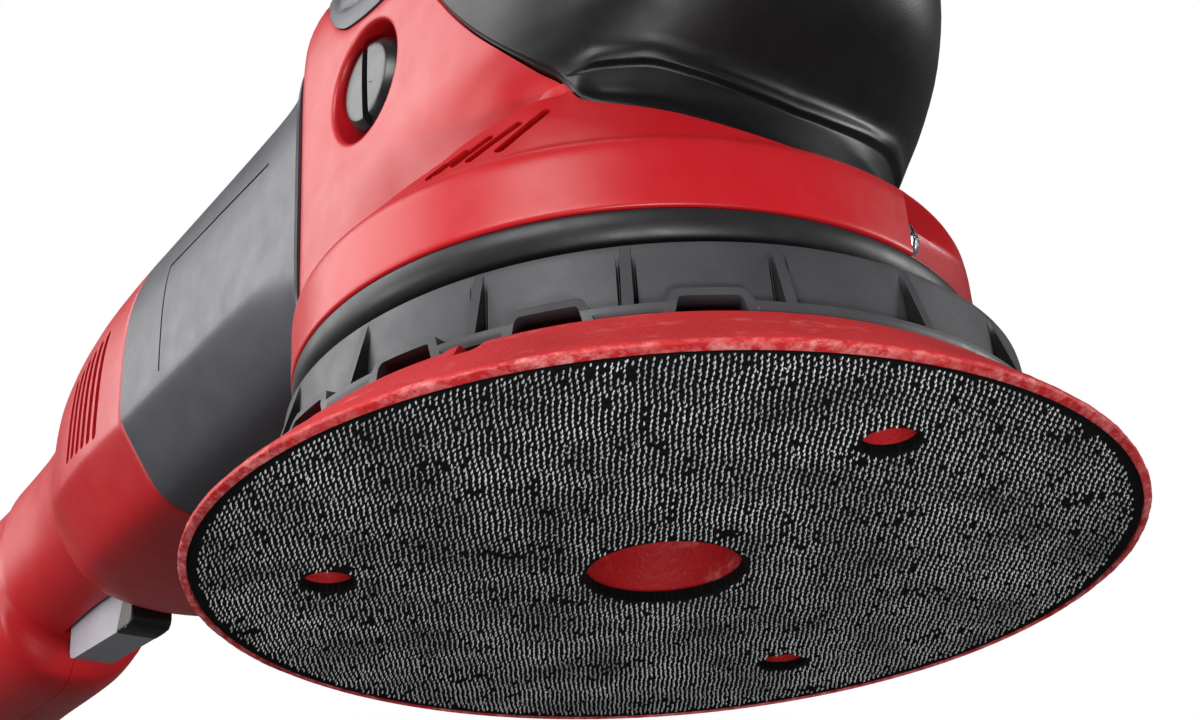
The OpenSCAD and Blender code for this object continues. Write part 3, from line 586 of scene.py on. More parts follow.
def fan_shroud():
    """The shroud on the pad's plate: one grid of angle and height, whose columns lean with the windows' sides,
    shaped by shroud_relief and closed over its top edge, its web and its foot. Its points carry shroud_relief's
    painted shade as the recess attribute."""
    near = np.array([0, 0.3, 0.6, 0.72, 0.725, 0.80, 0.9, 1.0, 1.01, 1.06, 1.07, 1.18, 1.30, 1.32, 1.6])
    keys = np.array([2.75, 2.4, 2.12, 2.06, 2.0, 1.93, 1.6, 1.3, 1.06, 1.0, 0.96, 0.85, 0.6, 0.3, 0])
    z = np.array([10.05, 10.2, 10.6, 11.0, 11.3, 11.41, 11.43, 11.7, 11.95, 12.1, 12.18, 12.22, 12.24, 12.4, 12.7,
                  12.95, 13.15, 13.3, 13.38, 13.43, 13.45, 13.8, 14.6, 15.6, 16.6, 17.6, 18.5, 19.2, 19.7, 20.15,
                  20.5])[:, None]
    spans = np.concatenate([0 * z, through(z, WINDOW), through(z, FRAME), 0 * z + 180 / RIBS - 1.7], axis=1)
    off = np.stack([np.interp(keys, [0, 1, 2, 3], row) for row in spans])
    half = np.concatenate([np.broadcast_to(near, (len(z), len(near))), 180 / RIBS - off], axis=1)
    turn = np.concatenate([-half[:, -2:0:-1], half], axis=1)
    r = [shroud_relief(turn, sector, z + 0 * turn)[0] for sector in range(RIBS)]
    angle = (RIB_PHASE + np.arange(RIBS) * 360 / RIBS)[None, :, None] + turn[:, None, :]
    angle = np.radians(angle.reshape(len(z), -1))
    r = np.concatenate(r, axis=1)
    walls = np.stack([r * np.cos(angle), r * np.sin(angle), z + 0 * angle], -1)

    def rim(points, at):
        """Points of (distance from the axis, height) carried round at the given angles."""
        points = np.asarray(points, float)
        return np.stack([points[:, :1] * np.cos(at), points[:, :1] * np.sin(at), points[:, 1:] + 0 * at], -1)

    top = rim([(50.38, 20.75), (50.2, 20.92), (49.9, 21.0), (49.2, 21.0), (48.8, 20.7), (48.3, 18), (48.5, 14.2),
               (47.6, 13.2), (44, 13.0), (20, 13.0), (14.4, 13.2), (14, 14), (14, 17.8), (13.6, 18), (4.3, 18)],
              angle[-1])
    foot = rim([(4.3, 15), (10.8, 15), (11, 14.8), (11, 10.1), (11.2, 10.0), (30, 10.0), (48.6, 10.0),
                (49.1, 10.0)], angle[0])
    shape = form(np.concatenate([walls, top, foot]), ring_rows=True, ring_cols=True)
    made = piece("fan_shroud", [shape], SHROUD, "shroud_plastic", "pad", ["backing_plate"], on_pad=True, sharp=30,
                 cutters=dust_plugs(9, 15, DUST_R + 0.3))
    # painted shade from shroud_relief on the outside of the wall, stored on the points as the recess attribute
    co = np.zeros(len(made.data.vertices) * 3, np.float32)
    made.data.vertices.foreach_get("co", co)
    x, y, high = co.reshape(-1, 3).astype(float).T / MM
    around = (np.degrees(np.arctan2(y, x)) - RIB_PHASE + 180 / RIBS) % 360
    turn = around % (360 / RIBS) - 180 / RIBS
    outside = (np.hypot(x, y) > 48.9) & (high > 10.02) & (high < 20.6)
    dark = shroud_relief(turn, np.floor(around * RIBS / 360), high)[1] * outside
    made.data.attributes.new("recess", "FLOAT", "POINT").data.foreach_set("value", dark.astype(np.float32))
    return made


hook_face()
hook_rows()
foam_pad()
fan_shroud()


# ---------- the head ----------

# Height, front reach, half width and rear reach of the head, up to its crown
HEAD_LEVELS = np.array([
    (36, 42.0, 36.25, 33), (40, 40, 36.25, 33), (47, 38.4, 36.25, 33), (50, 37.4, 36.25, 33),
    (53, 38.3, 36.25, 33), (57, 44, 36.25, 33), (60.5, 49, 36.25, 33), (65, 52.8, 36.25, 33),
    (71, 55, 36.25, 33), (78, 55.8, 36.25, 33), (86, 55.2, 36.2, 33), (93, 53.2, 35.75, 33),
    (99, 50, 34.25, 33), (105, 45.2, 31.05, 33), (110, 39.2, 26.65, 32.7), (114, 32.5, 21.65, 31),
    (117, 25.2, 16.25, 27), (118.9, 17, 10.25, 21), (119.5, 9, 5.25, 13), (CROWN_Z, 0.01, 0.01, 0.01)])
# Angle from the front and height of the rolled edge under the side cove
SHOULDER = [(0, 38.1), (9, 38.1), (12, 38.7), (16.4, 39.9), (22.1, 41.7), (27.9, 43.6), (34.2, 45.3), (40.2, 46.9),
            (44.3, 48.6), (47, 50.2), (50, 50.2), (59.2, 47.4), (65.1, 44.6), (68.7, 42.1), (74.6, 40.2),
            (81, 38.6), (90, 38.3), (180, 38.3)]
# Angle from the front and height of the red shell's upper edge
RED_EDGE = [(0, 38.1), (9, 38.1), (12, 38.7), (16.4, 39.9), (22.1, 41.7), (27.9, 43.6), (34.2, 45.3), (40.2, 46.9),
            (44.3, 48.8), (46, 51.0), (47.8, 52.8), (52, 55.0), (57.2, 58.2), (63.8, 63.3), (70.9, 69.8),
            (76.2, 75.2), (SEAM_ANGLE, 84), (90, 84.9), (105.4, 86), (115.1, 87.6), (120.1, 90.2), (124, 94.5),
            (128, 99), (133, 103), (140, 105.5), (180, 106)]


def head_radius(angle, z):
    """Distance from the drive axis to the head's plain outside, at an angle in degrees and a height. The level
    outline is a superellipse, full at the front and nearly square at the rear."""
    front, side, rear = np.moveaxis(through(z, HEAD_LEVELS), -1, 0)
    c, s = np.cos(np.radians(angle)), np.abs(np.sin(np.radians(angle)))
    squareness = 40 - 37.4 * ease(z, 97, 116)
    power = np.where(c > 0, 2.3, squareness)
    reach = np.where(c > 0, front, rear)
    return ((np.abs(c) / reach) ** power + (s / side) ** power) ** (-1 / power)


def cove(angle, z):
    """How far the side wall falls in above the shoulder: a hollow that fades out to the rear."""
    a = np.abs(angle)
    return 3.4 * ease(a, 40, 58) * (1 - ease(a, 96, 119)) * (1 - ease(z, 47.5, 60.5))


def scoop(angle, z):
    """Depth of the skirt's pocket: sharp at its front end and shallow towards its rear."""
    shape = ease(angle, 10.75, 10.95) * (1 - ease(angle, 15, 42)) * (1 - ease(z, 35.0, 36.2))
    return 3.5 * shape * ease(z, 26.9, 28.2)


def on_head(angle, radius, z):
    """Points from angles in degrees, distances from the drive axis and heights."""
    a = np.radians(angle)
    return np.stack(np.broadcast_arrays(radius * np.cos(a), radius * np.sin(a), z), -1)


def red_head():
    """The red shell of the head. At each angle its profile goes up the skirt, over the rounded edge, up the
    shoulder and over it into the cove, up the wall to the upper edge, and back down inside."""
    angle = np.sort(np.concatenate([np.arange(-180, 180, 0.75), [10.6, 10.72, 10.8, 10.88, 10.96, 11.05]]))
    a = np.abs(angle)
    edge_z = through(a, SHOULDER)
    edge_r = 46.0 - 0.5405 * (edge_z - 37.6)
    top_z = through(a, RED_EDGE)
    walled = ease(a, 44.6, 48)
    rows = [(r + 0 * a, z + 0 * a) for r, z in (
        (42.7, 27.0), (46.6, 27.0), (47.1, 27.02), (47.38, 27.3), (47.4, 28), (47.4, 29.4), (47.4, 31),
        (47.4, 32.6), (47.4, 34), (47.4, 35.2), (47.28, 36.1), (46.95, 36.9), (46.4, 37.5), (45.95, 37.75))]
    for share in (0.3, 0.62, 0.9, 1.0):
        rows.append((45.95 + (edge_r - 45.95) * share, 37.75 + (edge_z - 37.75) * share))
    low = np.minimum(edge_z - 0.9 * ease(a, 50, 62) * (1 - ease(a, 72, 80)) + 1.6 * ease(a, 80, 92), top_z)

    def wall(z):
        """Distance from the drive axis to the side wall, cove and all."""
        return head_radius(angle, z) - cove(angle, z)

    floor_z = low + 2.6
    full = [(edge_r - 0.55, edge_z + 0.12), (edge_r - 1.2, low + 0.1),
            (wall(floor_z) + 0.55 * (edge_r - wall(floor_z)), low - 0.1),
            (wall(floor_z) + 0.12 * (edge_r - wall(floor_z)), low + 0.45)]
    for share in np.concatenate([np.linspace(0, 0.25, 6), np.linspace(0.34, 1, 11)]):
        z = floor_z + (top_z - floor_z) * share
        full.append((wall(z), z))
    for k, (r, z) in enumerate(full):
        plain = edge_r - 3.0 * (k + 1) / len(full)
        rows.append((plain + (r - plain) * walled, top_z + (z - top_z) * walled))
    inner_r = rows[-1][0] - 2.8
    rows += [(inner_r + 1.6, top_z - 0.02), (inner_r, top_z - 0.05)]
    rows += [(inner_r + (head_radius(angle, 50.0) - 6.4 - inner_r) * walled, np.minimum(50, top_z - 1)),
             (inner_r + (30.2 - inner_r) * walled, np.minimum(41.0, top_z - 2)),
             (42.7 + 0 * a, 35.4 + 0 * a), (42.7 + 0 * a, 31.5 + 0 * a)]
    radius = np.stack([r for r, _ in rows])
    height = np.stack([z for _, z in rows])
    radius = np.where(radius > 45.9, radius - scoop(angle, height), radius)
    shape = rounded(np.stack([radius, height], -1), 1, ring=True)
    shape = form(on_head(angle, shape[..., 0], shape[..., 1]), ring_rows=True, ring_cols=True)
    bosses, sockets = [], []
    for side in (-1, 1):
        boss = knob([(0, 26.5), (12.4, 26.5), (12.4, 34.6), (0, 34.6)], 64, passes=0)
        mouth = knob([(0, 29.4), (9.35, 29.4), (9.35, 35.3), (9.42, 35.75), (9.65, 36.05), (10.05, 36.22),
                      (10.6, 36.28), (10.6, 40), (0, 40)], 96, passes=0)
        turn = sideways(side)
        bosses.append(moved(boss, turn, SOCKET))
        sockets.append(moved(mouth, turn, SOCKET))
    vents = []
    for (upper, lower) in VENTS:
        for side in (-1, 1):
            ends = [on_head(side * deg, r, z) for deg, r, z in (upper, lower)]
            vents.append(capsule(ends[0], ends[1], 0.62, 2.2))
    return piece("head_shell", [shape], RED, "red_plastic", "housing", ["gear_head"], cutters=sockets + vents,
                 joined=bosses)


# Ends of the exhaust slots on the shoulder: angle from the front, distance from the drive axis and height
VENTS = [((49.9, 41.0, 46.7), (56.8, 44.7, 39.9)), ((54.8, 41.9, 45.1), (62.0, 44.8, 39.8)),
         ((59.8, 42.6, 43.7), (65.0, 44.6, 40.0)), ((63.9, 43.4, 42.2), (68.1, 44.8, 39.7)),
         ((67.3, 44.2, 40.7), (69.6, 45.0, 39.4))]
red_head()


# Angle from the front and height of the hood's lip
LIP = [(0, 50.7), (10, 51.1), (23, 52.4), (32, 53.4), (40, 53.4), (46, 52.8), (60, 52.5)]


def front_hood():
    """The rubber hood. At each angle its profile rises from the shoulder as a hollow neck, swells in a thin lip
    bead, runs out under the hood's belly and goes up over the crown."""
    angle = np.linspace(-SEAM_ANGLE + SEAM_GAP, SEAM_ANGLE - SEAM_GAP, 229)
    a = np.abs(angle)
    foot_z = through(a, RED_EDGE) + 0.28
    lip_z = np.maximum(through(a, LIP), foot_z + 1.2)
    foot_r = np.where(a < 46, 45.95 - 0.5405 * (foot_z - 37.75), 0)
    foot_r = np.maximum(foot_r - 0.5, head_radius(angle, foot_z) + 0.1)
    flare = foot_r - head_radius(angle, foot_z)
    crown = np.interp(np.linspace(0, 1, 60) ** 0.8, np.linspace(0, 1, len(HEAD_LEVELS) - 4), HEAD_LEVELS[4:, 0])
    tall = np.minimum(1, (lip_z - foot_z) / 3)
    shares = np.concatenate([[0, 0.02, 0.06], np.linspace(0.12, 0.78, 10)])
    rows = [foot_z + (lip_z - foot_z) * s for s in shares]
    rows += [lip_z - tall * d for d in (0.55, 0.35, 0.2, 0.1, 0)]
    for z in np.concatenate([[53.5, 53.65, 53.85, 54.1, 54.4, 54.8, 55.4, 56.2], crown[crown > 57]]):
        rows.append(lip_z + (z - 53.4) * (CROWN_Z - lip_z) / (CROWN_Z - 53.4))
    z = np.minimum(np.stack(rows), CROWN_Z)
    fade = 1 - ease(a, 40, 47.5)
    lift = 0.55 * ease(z - foot_z, 0, 0.7)
    bead = 0.95 * ease((z - lip_z) / tall, -0.35, 0.12) * (1 - ease(z - lip_z, 0.45, 2.4)) * fade
    middle = (foot_z + lip_z) / 2
    hollow = 1.1 * np.exp(-((z - middle) / (0.32 * (lip_z - foot_z))) ** 2) * fade * ease(lip_z - foot_z, 2, 7)
    r = head_radius(angle, z) + flare * np.exp(-np.maximum(z - foot_z, 0) / 2.6) + lift + bead - hollow
    outer = on_head(angle, r, z)
    inner_z = z - 2.2 * ease(z, 100, 119)
    inner = on_head(angle, np.maximum(r - 2.6, 0), inner_z)
    inner[-1] = inner[-1][:1]
    hood = piece("hood", [shell(outer, inner)], RUBBER, "black_rubber", "housing", ["front_hood"])
    return eased_edges(hood, 0.45, 2, 60)


def top_cover():
    """The slate insert on the top rear of the head: the head's plain outside, a little proud, from the red
    shell's edge to the crown, with a groove along it."""
    angle = np.linspace(SEAM_ANGLE + SEAM_GAP, 360 - SEAM_ANGLE - SEAM_GAP, 229)
    a = np.where(angle > 180, 360 - angle, angle)
    foot = through(a, RED_EDGE) + 0.28
    share = np.sin(np.linspace(0, np.pi / 2, 60))[:, None]
    z = foot + (CROWN_Z - foot) * share
    rise = z - foot
    groove = 0.55 * np.exp(-((rise - 4.2) / 0.45) ** 2) * (a < 128)
    r = head_radius(angle, z) + 0.25 * ease(rise, 0, 0.8) - groove
    r[-1] = 0.0
    outer = on_head(angle, r, z)
    inner = on_head(angle, np.maximum(r - 2.4, 0), z - 2.2 * ease(z, 100, 119))
    cover = piece("crown_cover", [shell(outer, inner)], COVER, "grey_plastic", "housing", ["top_cover"])
    return eased_edges(cover, 0.4, 2, 60)


def guard_ring():
    """The rubber ring under the skirt, with a satin upper flank, a step and a rounded foot."""
    profile = [(42.9, 26.95), (42.9, 22.8), (43.2, 22.45), (44.4, 22.42), (45.6, 22.9), (46.5, 23.7),
               (47.05, 24.7), (47.25, 25.6), (47.25, 26.5), (47.0, 26.85), (46.6, 26.95)]
    return piece("skirt_ring", [collar(profile, 240)], RING_RUBBER, "black_rubber", "housing", ["guard_ring"])


def socket_caps():
    """Slotted plugs in the side-handle sockets: a bevelled rim, a faintly domed face and a deep slot."""
    cap = knob([(0, 29.6), (7.3, 29.6), (7.3, 34.0), (7.2, 34.6), (6.1, 35.75), (5.9, 35.9), (4, 36.0),
                (0, 36.05)], 96, 1)
    blade = prism([(-0.8, -9), (0.8, -9), (0.8, 9), (-0.8, 9)], 34.1, 38)
    for side, name in ((-1, "right"), (1, "left")):
        turn = sideways(side)
        plug = moved(cap, turn, SOCKET)
        slot = moved(blade, np.diag([1, side, 1]), SOCKET)
        made = piece("cap_" + name, [plug], GLOSS, "gloss_black_plastic", "housing", ["socket_cap_" + name],
                     cutters=[slot], sharp=30)
        eased_edges(made, 0.22, 2, 35)


def skirt_screw():
    """The bright pan-head screw in the skirt's pocket, with a cross slot."""
    head = knob([(0, -0.6), (2.5, -0.6), (2.6, 0.2), (2.4, 1.0), (1.6, 1.6), (0, 1.85)], 48, 2)
    slots = [prism(np.array([(-2, -0.3), (2, -0.3), (2, 0.3), (-2, 0.3)]), 0, 1),
             prism(np.array([(-0.3, -2), (0.3, -2), (0.3, 2), (-0.3, 2)]), 0, 1)]
    to_z = np.array([[1, 0, 0], [0, 0, -1], [0, 1, 0]])
    place = about_z(11) @ Z_TO_X
    spot = about_z(11) @ np.array([44.4, 2.6, 31.6])
    cutters = [moved(moved(s, to_z, (0, 0, 0.9)), place, spot) for s in slots]
    return piece("pocket_screw", [moved(head, place, spot)], BRIGHT, "bright_screw", "housing", ["skirt_screw"],
                 cutters=cutters)


front_hood()
top_cover()
guard_ring()
socket_caps()
skirt_screw()


# ---------- motor housing and handle ----------

# Half of the barrel's section from its underside to its top, in shares of its half width and half height
BARREL = np.array([(0, -1), (0.33, -0.983), (0.6, -0.96), (0.72, -0.925), (0.79, -0.87), (0.853, -0.775),
                   (0.945, -0.62), (0.985, -0.55), (0.994, -0.52), (1.0, -0.46), (1.0, -0.3), (0.997, -0.117),
                   (0.978, 0.08), (0.925, 0.27), (0.84, 0.435), (0.73, 0.575), (0.6, 0.7), (0.44, 0.82),
                   (0.24, 0.935), (0, 1)])
# The same for the head's rear face
SQUARE = np.array([(0, -1), (0.4, -1.0), (0.72, -0.995), (0.88, -0.985), (0.95, -0.95), (0.985, -0.9),
                   (0.995, -0.8), (0.998, -0.7), (1.0, -0.6), (1.0, -0.46), (1.0, -0.3), (1.0, -0.1),
                   (1.0, 0.1), (0.998, 0.24), (0.98, 0.36), (0.93, 0.47), (0.82, 0.6), (0.62, 0.74),
                   (0.33, 0.87), (0, 0.93)])
# Place, half width, lowest and highest height of the housings' section, from the head to the rear end
STATIONS = np.array([
    (-332, 15, 58, 97), (-328, 20.5, 52, 102.5), (-318, 22, 50.5, 103.5), (-300, 20.8, 52, 102.5),
    (-260, 20, 52, 101.5), (-226, 19.6, 51, 101.5), (-218, 19.5, 52.5, 101.7), (-213, 19.5, 59.6, 101.9),
    (-195, 19.8, 60, 102.5), (-178, 21.4, 59, 104), (-170, 23.4, 54, 105.2), (-163, 25.8, 50, 106.4),
    (-154, 29.2, 47, 108), (-143, 32.6, 45, 110), (-130, 35, 43.5, 111.5), (-115, 36.3, 42.3, 112.5),
    (-100, 36.6, 41.5, 113), (-80, 36.6, 41.2, 113), (-60, 36.6, 41, 113), (-33, 36.3, 41, 113)])
BARREL_FINE = rounded(BARREL, 2)
SQUARE_FINE = rounded(SQUARE, 2)


def body_section(x, shares, inset=0.0):
    """Half sections of the housings at places x: width and height from the stations, and a shape between the
    head's square face, the creased barrel and, further back, an oval grip."""
    x = np.asarray(x, float)
    half_w, low, high = np.moveaxis(through(x, STATIONS), -1, 0)
    line = np.linspace(0, 1, len(BARREL_FINE))
    barrel = np.stack([np.interp(shares, line, BARREL_FINE[:, k]) for k in (0, 1)], -1)
    square = np.stack([np.interp(shares, line, SQUARE_FINE[:, k]) for k in (0, 1)], -1)
    swing = np.pi * (shares - 0.5)
    power = 2 / 2.3
    oval = np.stack([np.abs(np.cos(swing)) ** power, np.sign(np.sin(swing)) * np.abs(np.sin(swing)) ** power], -1)
    near_head = (0.85 * np.exp((x - HEAD_REAR) / 6.3) + 0.15 * np.exp((x - HEAD_REAR) / 1.6))[:, None, None]
    grip = (1 - ease(x, -178, -134))[:, None, None]
    unit = barrel + (square - barrel) * np.clip(near_head, 0, 1)
    unit = unit + (oval - unit) * grip
    half_h, middle = (high - low) / 2, (high + low) / 2
    y = unit[..., 0] * np.maximum(half_w - inset, 1)[:, None]
    z = middle[:, None] + unit[..., 1] * np.maximum(half_h - inset, 1)[:, None]
    return y, z


def both_sides(x, shares, inset=0.0):
    """Whole ring sections: up the right side and down the left."""
    y, z = body_section(x, shares, inset)
    y = np.concatenate([-y, y[:, -2:0:-1]], axis=1)
    z = np.concatenate([z, z[:, -2:0:-1]], axis=1)
    return np.stack([np.broadcast_to(np.asarray(x, float)[:, None], y.shape), y, z], -1)


def bar(start, end, thick, y_low, y_high):
    """A straight bar between two (x, z) points, from y_low to y_high."""
    start, end = np.asarray(start, float), np.asarray(end, float)
    along = (end - start) / np.linalg.norm(end - start)
    beside = np.array([-along[1], along[0]]) * thick / 2
    outline = [start - beside, end - beside, end + beside, start + beside]
    return prism(outline, y_low, y_high)


def motor_housing():
    """The dark barrel: sections swept from the head's square rear face, through a quick hollow flare, to the
    creased barrel, with an L-shaped panel groove on each side."""
    outer_x = np.concatenate([HEAD_REAR - np.array([0.05, 0.4, 1, 1.8, 2.8, 4, 5.5, 7.5, 10, 13, 17, 22, 28]),
                              np.linspace(-68, -99.2, 9), [-99.7, -99.95]])
    shares = np.linspace(0, 1, 90)
    outer = both_sides(outer_x, shares)
    outer[-1] = both_sides(outer_x[-1:], shares, 0.25)[0]
    outer[0] = both_sides(outer_x[:1], shares, 0.3)[0]
    inner_x = np.linspace(-99.95, -33.05, 8)
    inner = both_sides(inner_x, shares, 3.0)
    shape = form(np.concatenate([outer, inner]), ring_rows=True, ring_cols=True)
    grooves = []
    for side in (-1, 1):
        low, high = sorted((side * 34.9, side * 42))
        grooves += [bar((-44, 79.2), (-83, 81.0), 0.55, low, high), bar((-83, 81.2), (-83, 60), 0.55, low, high)]
    return piece("motor_barrel", [shape], GREY, "grey_plastic", "housing", ["motor_housing"], cutters=grooves)


def rear_shells():
    """The red shells of the handle: half sections swept from the barrel to the rear end, split down the middle,
    with air slots, the trigger's recess, the dial's slot, screw wells and the button's hole."""
    x = np.unique(np.concatenate([
        np.linspace(-100.05, -101.2, 4), np.linspace(-102, -170, 44), np.linspace(-170, -222, 52),
        np.linspace(-223, -318, 48), np.linspace(-318, -331, 12), [-331.6, -332]]))[::-1]
    shares = np.linspace(0, 1, 66)
    for side, name in ((-1, "right"), (1, "left")):
        y, z = body_section(x, shares)
        rolled = 0.35 * (1 - ease(-100.05 - x, 0, 0.8))[:, None]
        outer = np.stack([np.broadcast_to(x[:, None], y.shape), side * np.maximum(y - rolled, 0.06), z], -1)
        yi, zi = body_section(x, shares, 2.8)
        inner_x = np.clip(x, -328.5, None)
        inner = np.stack([np.broadcast_to(inner_x[:, None], y.shape), side * np.maximum(yi, 0.06), zi], -1)
        wells, cutters = [], []
        turn = sideways(side)
        if side < 0:
            for sx, sz in SCREWS:
                wells.append(moved(knob([(0, 9.5), (4.9, 9.5), (4.9, 13.2), (0, 13.2)], 40, 0), turn, (sx, 0, sz)))
                cutters.append(moved(knob([(0, 11.4), (4.0, 11.4), (4.0, 30), (0, 30)], 40, 0), turn, (sx, 0, sz)))
        else:
            cutters.append(moved(knob([(0, 8), (4.95, 8), (4.95, 30), (0, 30)], 48, 0), turn, LOCK))
        for i in range(6):
            place, tall = -112 - 3.3 * i, 10 - 0.45 * i
            low, high = sorted((side * 25, side * 44))
            round_top = [(place + np.cos(t), 71 + tall + np.sin(t)) for t in np.linspace(0, np.pi, 7)]
            round_low = [(place + np.cos(t), 71 - tall + np.sin(t)) for t in np.linspace(np.pi, 2 * np.pi, 7)]
            outline = np.array(round_top + round_low)
            outline[:, 0] += (outline[:, 1] - 71) * 0.052
            cutters.append(prism(outline, low, high))
        cutters.append(prism([(-208.6, 38), (-168.4, 38), (-168.4, 68), (-208.6, 68)], -5.1, 5.1))
        cutters.append(prism([(-171, 99), (-149, 99), (-149, 121), (-171, 121)], -4.2, 4.2))
        gland = knob([(0, -345), (9.1, -345), (9.1, -322), (0, -322)], 48, 0)
        cutters.append(moved(gland, Z_TO_X, (0, 0, MOTOR_Z)))
        made = piece("grip_shell_" + name, [shell(outer, inner)], RED, "red_plastic", "housing",
                     ["rear_shell_" + name], cutters=cutters, joined=wells)
        made.data.set_sharp_from_angle(angle=np.radians(32))


SCREWS = [(-245, 61), (-245, 93), (-305, 61), (-305, 93)]
motor_housing()
rear_shells()


# ---------- controls and the cable side ----------

def controls():
    """Trigger with its dark nose, lock button, speed dial, handle screws and the cable gland."""
    side = [(-171.1, 51.4), (-172.3, 50.2), (-173.5, 49.8), (-203.5, 52.4), (-205.6, 53.2), (-206.2, 54.6),
            (-206.6, 63.6), (-212.5, 65), (-213, 71), (-211.5, 73), (-204.5, 73), (-201.5, 70), (-199, 63),
            (-172.5, 60.8), (-171.1, 59.5)]
    turn = np.linspace(0, 2 * np.pi, 24, endpoint=False)
    pin_hole = np.stack([-208 + 1.6 * np.cos(turn), 69 + 1.6 * np.sin(turn)], -1)
    paddle = piece("trigger_paddle", [prism(side, -4.4, 4.4)], TRIGGER_GREY, "trigger_plastic", "trigger",
                   ["trigger"], cutters=[prism(pin_hole, -8, 8)])
    eased_edges(paddle, 1.0, 3, 40)
    nose = [(-170.5, 51.6), (-170.8, 50.6), (-171.9, 49.7), (-176.1, 49.75), (-179, 50.0), (-174.5, 60.9),
            (-170.8, 59.9)]
    cap = piece("trigger_nose", [prism(nose, -4.6, 4.6)], RUBBER, "trigger_plastic", "trigger")
    eased_edges(cap, 0.7, 3, 40)
    button = knob([(0, 12.7), (5.9, 12.7), (5.9, 14.5), (4.5, 14.6), (4.5, 21.0), (4.2, 21.8), (3.4, 22.1),
                   (2.4, 21.8), (0, 21.6)], 64, 1)
    piece("lock_knob", [moved(button, sideways(1), LOCK)], SATIN_BLACK,
          "black_plastic", "lock_button", ["lock_button"])
    teeth = rounded([(2.1, -3.45), (10.8, -3.45), (11.6, -3.1), (11.95, -2.3), (11.95, 2.3), (11.6, 3.1),
                     (10.8, 3.45), (2.1, 3.45)], 1, ring=True)
    wheel = turned(teeth, 288)
    a = np.arctan2(wheel[..., 1], wheel[..., 0])
    r = np.hypot(wheel[..., 0], wheel[..., 1])
    notch = 0.55 * (0.5 - 0.5 * np.cos(36 * a)) ** 0.7 * (r > 11)
    wheel[..., 0] -= notch * np.cos(a)
    wheel[..., 1] -= notch * np.sin(a)
    dial = moved(form(wheel, ring_rows=True, ring_cols=True), Z_TO_Y, DIAL)
    piece("dial_wheel", [dial], SATIN_BLACK, "black_plastic", "speed_dial", ["speed_dial"], sharp=50)
    heads, recesses = [], []
    for sx, sz in SCREWS:
        turn = sideways(-1)
        head = knob([(0, -12.8), (1.7, -12.8), (1.7, 11.45), (3.3, 11.5), (3.4, 12.2), (3.1, 13.1), (2.2, 13.5),
                     (0, 13.6)], 40, 1)
        heads.append(moved(head, turn, (sx, 0, sz)))
        t = np.linspace(0, 2 * np.pi, 36, endpoint=False)
        reach = 1.25 + 0.3 * np.cos(6 * t)
        star = np.stack([reach * np.cos(t) + sx, reach * np.sin(t) + sz], -1)
        recesses.append(prism(star, -17, -12.1))
    piece("grip_screws", heads, BRIGHT, "steel", "housing", ["shell_screws"], cutters=recesses)
    gland = collar([(4.15, 15.8), (4.15, 1.2), (4.8, 0.1), (5.6, 0.0), (10.6, 0.0), (11.7, 0.5), (12.0, 1.6),
                    (12.0, 3.3), (11.7, 3.6), (8.9, 3.7), (8.9, 9.5), (10.5, 9.6), (10.5, 12.4), (8.9, 12.5),
                    (8.8, 15.9)], 120, 1)
    piece("cord_grommet", [moved(gland, Z_TO_X, GLAND_FACE)], RUBBER, "black_rubber", "housing",
          ["cable_gland"])


controls()


# ---------- the parts inside ----------

STEEL = metal("turned steel", (176, 178, 182), 0.28)
ALLOY = metal("cast alloy", (150, 152, 156), 0.48, (1, 1, 1), 0.9, 0.03)
IRON = metal("laminated iron", (112, 112, 116), 0.4, (14, 1, 1), 0.5, 0.02)
COPPER = metal("enamelled copper", (184, 98, 52), 0.3, (1, 6, 6), 0.5, 0.03, Coat_Weight=0.5)
BRASS = metal("brass", (192, 154, 84), 0.3)
CARBON = moulded("pressed carbon", (38, 38, 40), 0.6, 0.4, 0.03)
INSIDE = {
    "steel": STEEL, "cast_alloy": ALLOY, "laminated_iron": IRON, "copper": COPPER, "brass": BRASS,
    "carbon": CARBON, "black_plastic": SATIN_BLACK, "bright_screw": BRIGHT, "black_rubber": RUBBER,
    "gloss_black_plastic": GLOSS, "grey_plastic": GREY, "red_plastic": RED, "shroud_plastic": SATIN_BLACK,
    "trigger_plastic": TRIGGER_GREY, "hook_fabric": FELT, "pad_foam": FOAM}


def dress_inside():
    """Each part that keeps its plain form gets the finish of the record's material row that names it, or satin
    black where no row does."""
    slots = {name: row["slot"] for row in frame["record"]["materials"] for name in row.get("nodes", [])}
    for name, part in frame["nodes"].items():
        finish = INSIDE.get(slots.get(name), SATIN_BLACK)
        part.data.materials.clear()
        part.data.materials.append(finish)


dress_inside()


# ---------- camera, floor and light ----------

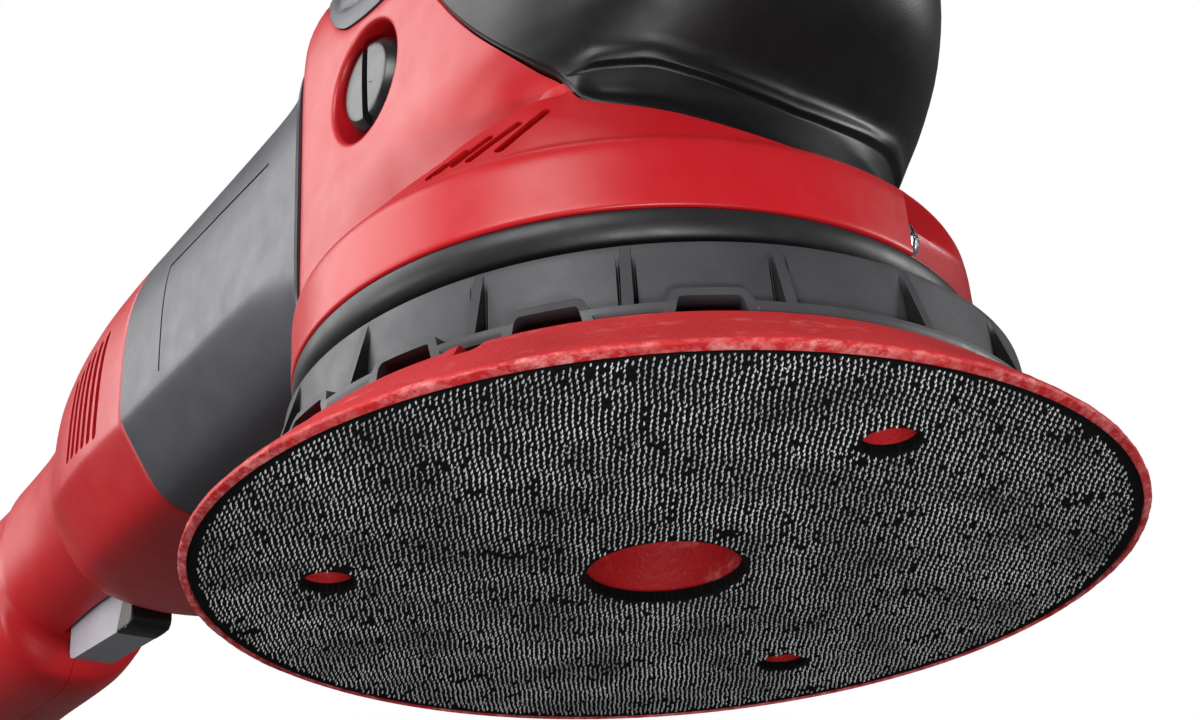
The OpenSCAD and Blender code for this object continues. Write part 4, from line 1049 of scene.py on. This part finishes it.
def studio():
    """A camera low in front of the pad that looks up at the head, a pale floor, a white surround and soft
    lamps. Places here are in metres."""
    scene = bpy.context.scene
    yaw, pitch, roll = np.radians([53.0, 28.162, -4.068])
    ahead = np.array([-np.sin(yaw) * np.cos(pitch), np.cos(yaw) * np.cos(pitch), np.sin(pitch)])
    level = np.array([np.cos(yaw), np.sin(yaw), 0])
    over = np.cross(level, ahead)
    right = np.cos(roll) * level + np.sin(roll) * over
    up = -np.sin(roll) * level + np.cos(roll) * over
    camera = bpy.data.objects.new("camera", bpy.data.cameras.new("camera"))
    scene.collection.objects.link(camera)
    camera.data.lens, camera.data.sensor_width = 55.36, 36
    camera.data.clip_start = 0.01
    turn = Matrix(np.stack([right, up, -ahead], 1).tolist()).to_4x4()
    camera.matrix_world = Matrix.Translation((0.1799, -0.1439, -0.0901)) @ turn
    scene.camera = camera

    side = 12.0
    floor_mesh = bpy.data.meshes.new("floor")
    corners = [(-side, -side, FLOOR_Z), (side, -side, FLOOR_Z), (side, side, FLOOR_Z), (-side, side, FLOOR_Z)]
    floor_mesh.from_pydata(corners, [], [(0, 1, 2, 3)])
    floor = bpy.data.objects.new("floor", floor_mesh)
    scene.collection.objects.link(floor)
    floor_mesh.materials.append(moulded("pale floor", (192, 192, 192), 0.8, 4, 0.05))
    floor.visible_diffuse = floor.visible_glossy = False

    world = bpy.data.worlds.new("white surround")
    scene.world = world
    world.use_nodes = True
    tree = world.node_tree
    shine = tree.nodes["Background"]
    seen = node(tree, "LightPath").outputs["Is Camera Ray"]
    tree.links.new(spread(tree, seen, 0, 1, 0.11, 1.0), shine.inputs["Strength"])
    shine.inputs["Color"].default_value = (1, 1, 1, 1)

    aim = Vector((0.0, 0.0, 0.05))
    lamps = [("key", (-0.80, -0.90, 0.62), 1.3, 15.0), ("front", (0.50, -0.95, 0.42), 0.6, 8.0),
             ("rim", (0.60, 0.80, 0.20), 0.35, 5.0), ("top", (-0.05, 0.1, 0.95), 0.5, 1.6),
             ("low", (-0.30, -0.75, -0.13), 0.25, 1.6)]
    for name, place, size, power in lamps:
        lamp = bpy.data.objects.new(name, bpy.data.lights.new(name, "AREA"))
        scene.collection.objects.link(lamp)
        lamp.data.shape, lamp.data.size, lamp.data.energy = "DISK", size, power
        lamp.location = place
        lamp.rotation_mode = "QUATERNION"
        lamp.rotation_quaternion = (aim - lamp.location).to_track_quat("-Z", "Y")
    spot = bpy.data.objects.new("pad spot", bpy.data.lights.new("pad spot", "SPOT"))
    scene.collection.objects.link(spot)
    spot.location = (0.17, -0.10, -0.115)
    spot.data.energy, spot.data.shadow_soft_size = 1.0, 0.02
    spot.data.spot_size, spot.data.spot_blend = np.radians(42), 0.35
    spot.rotation_mode = "QUATERNION"
    spot.rotation_quaternion = (Vector((0.005, -0.005, 0)) - spot.location).to_track_quat("-Z", "Y")
    scene.view_settings.view_transform = "Standard"


studio()
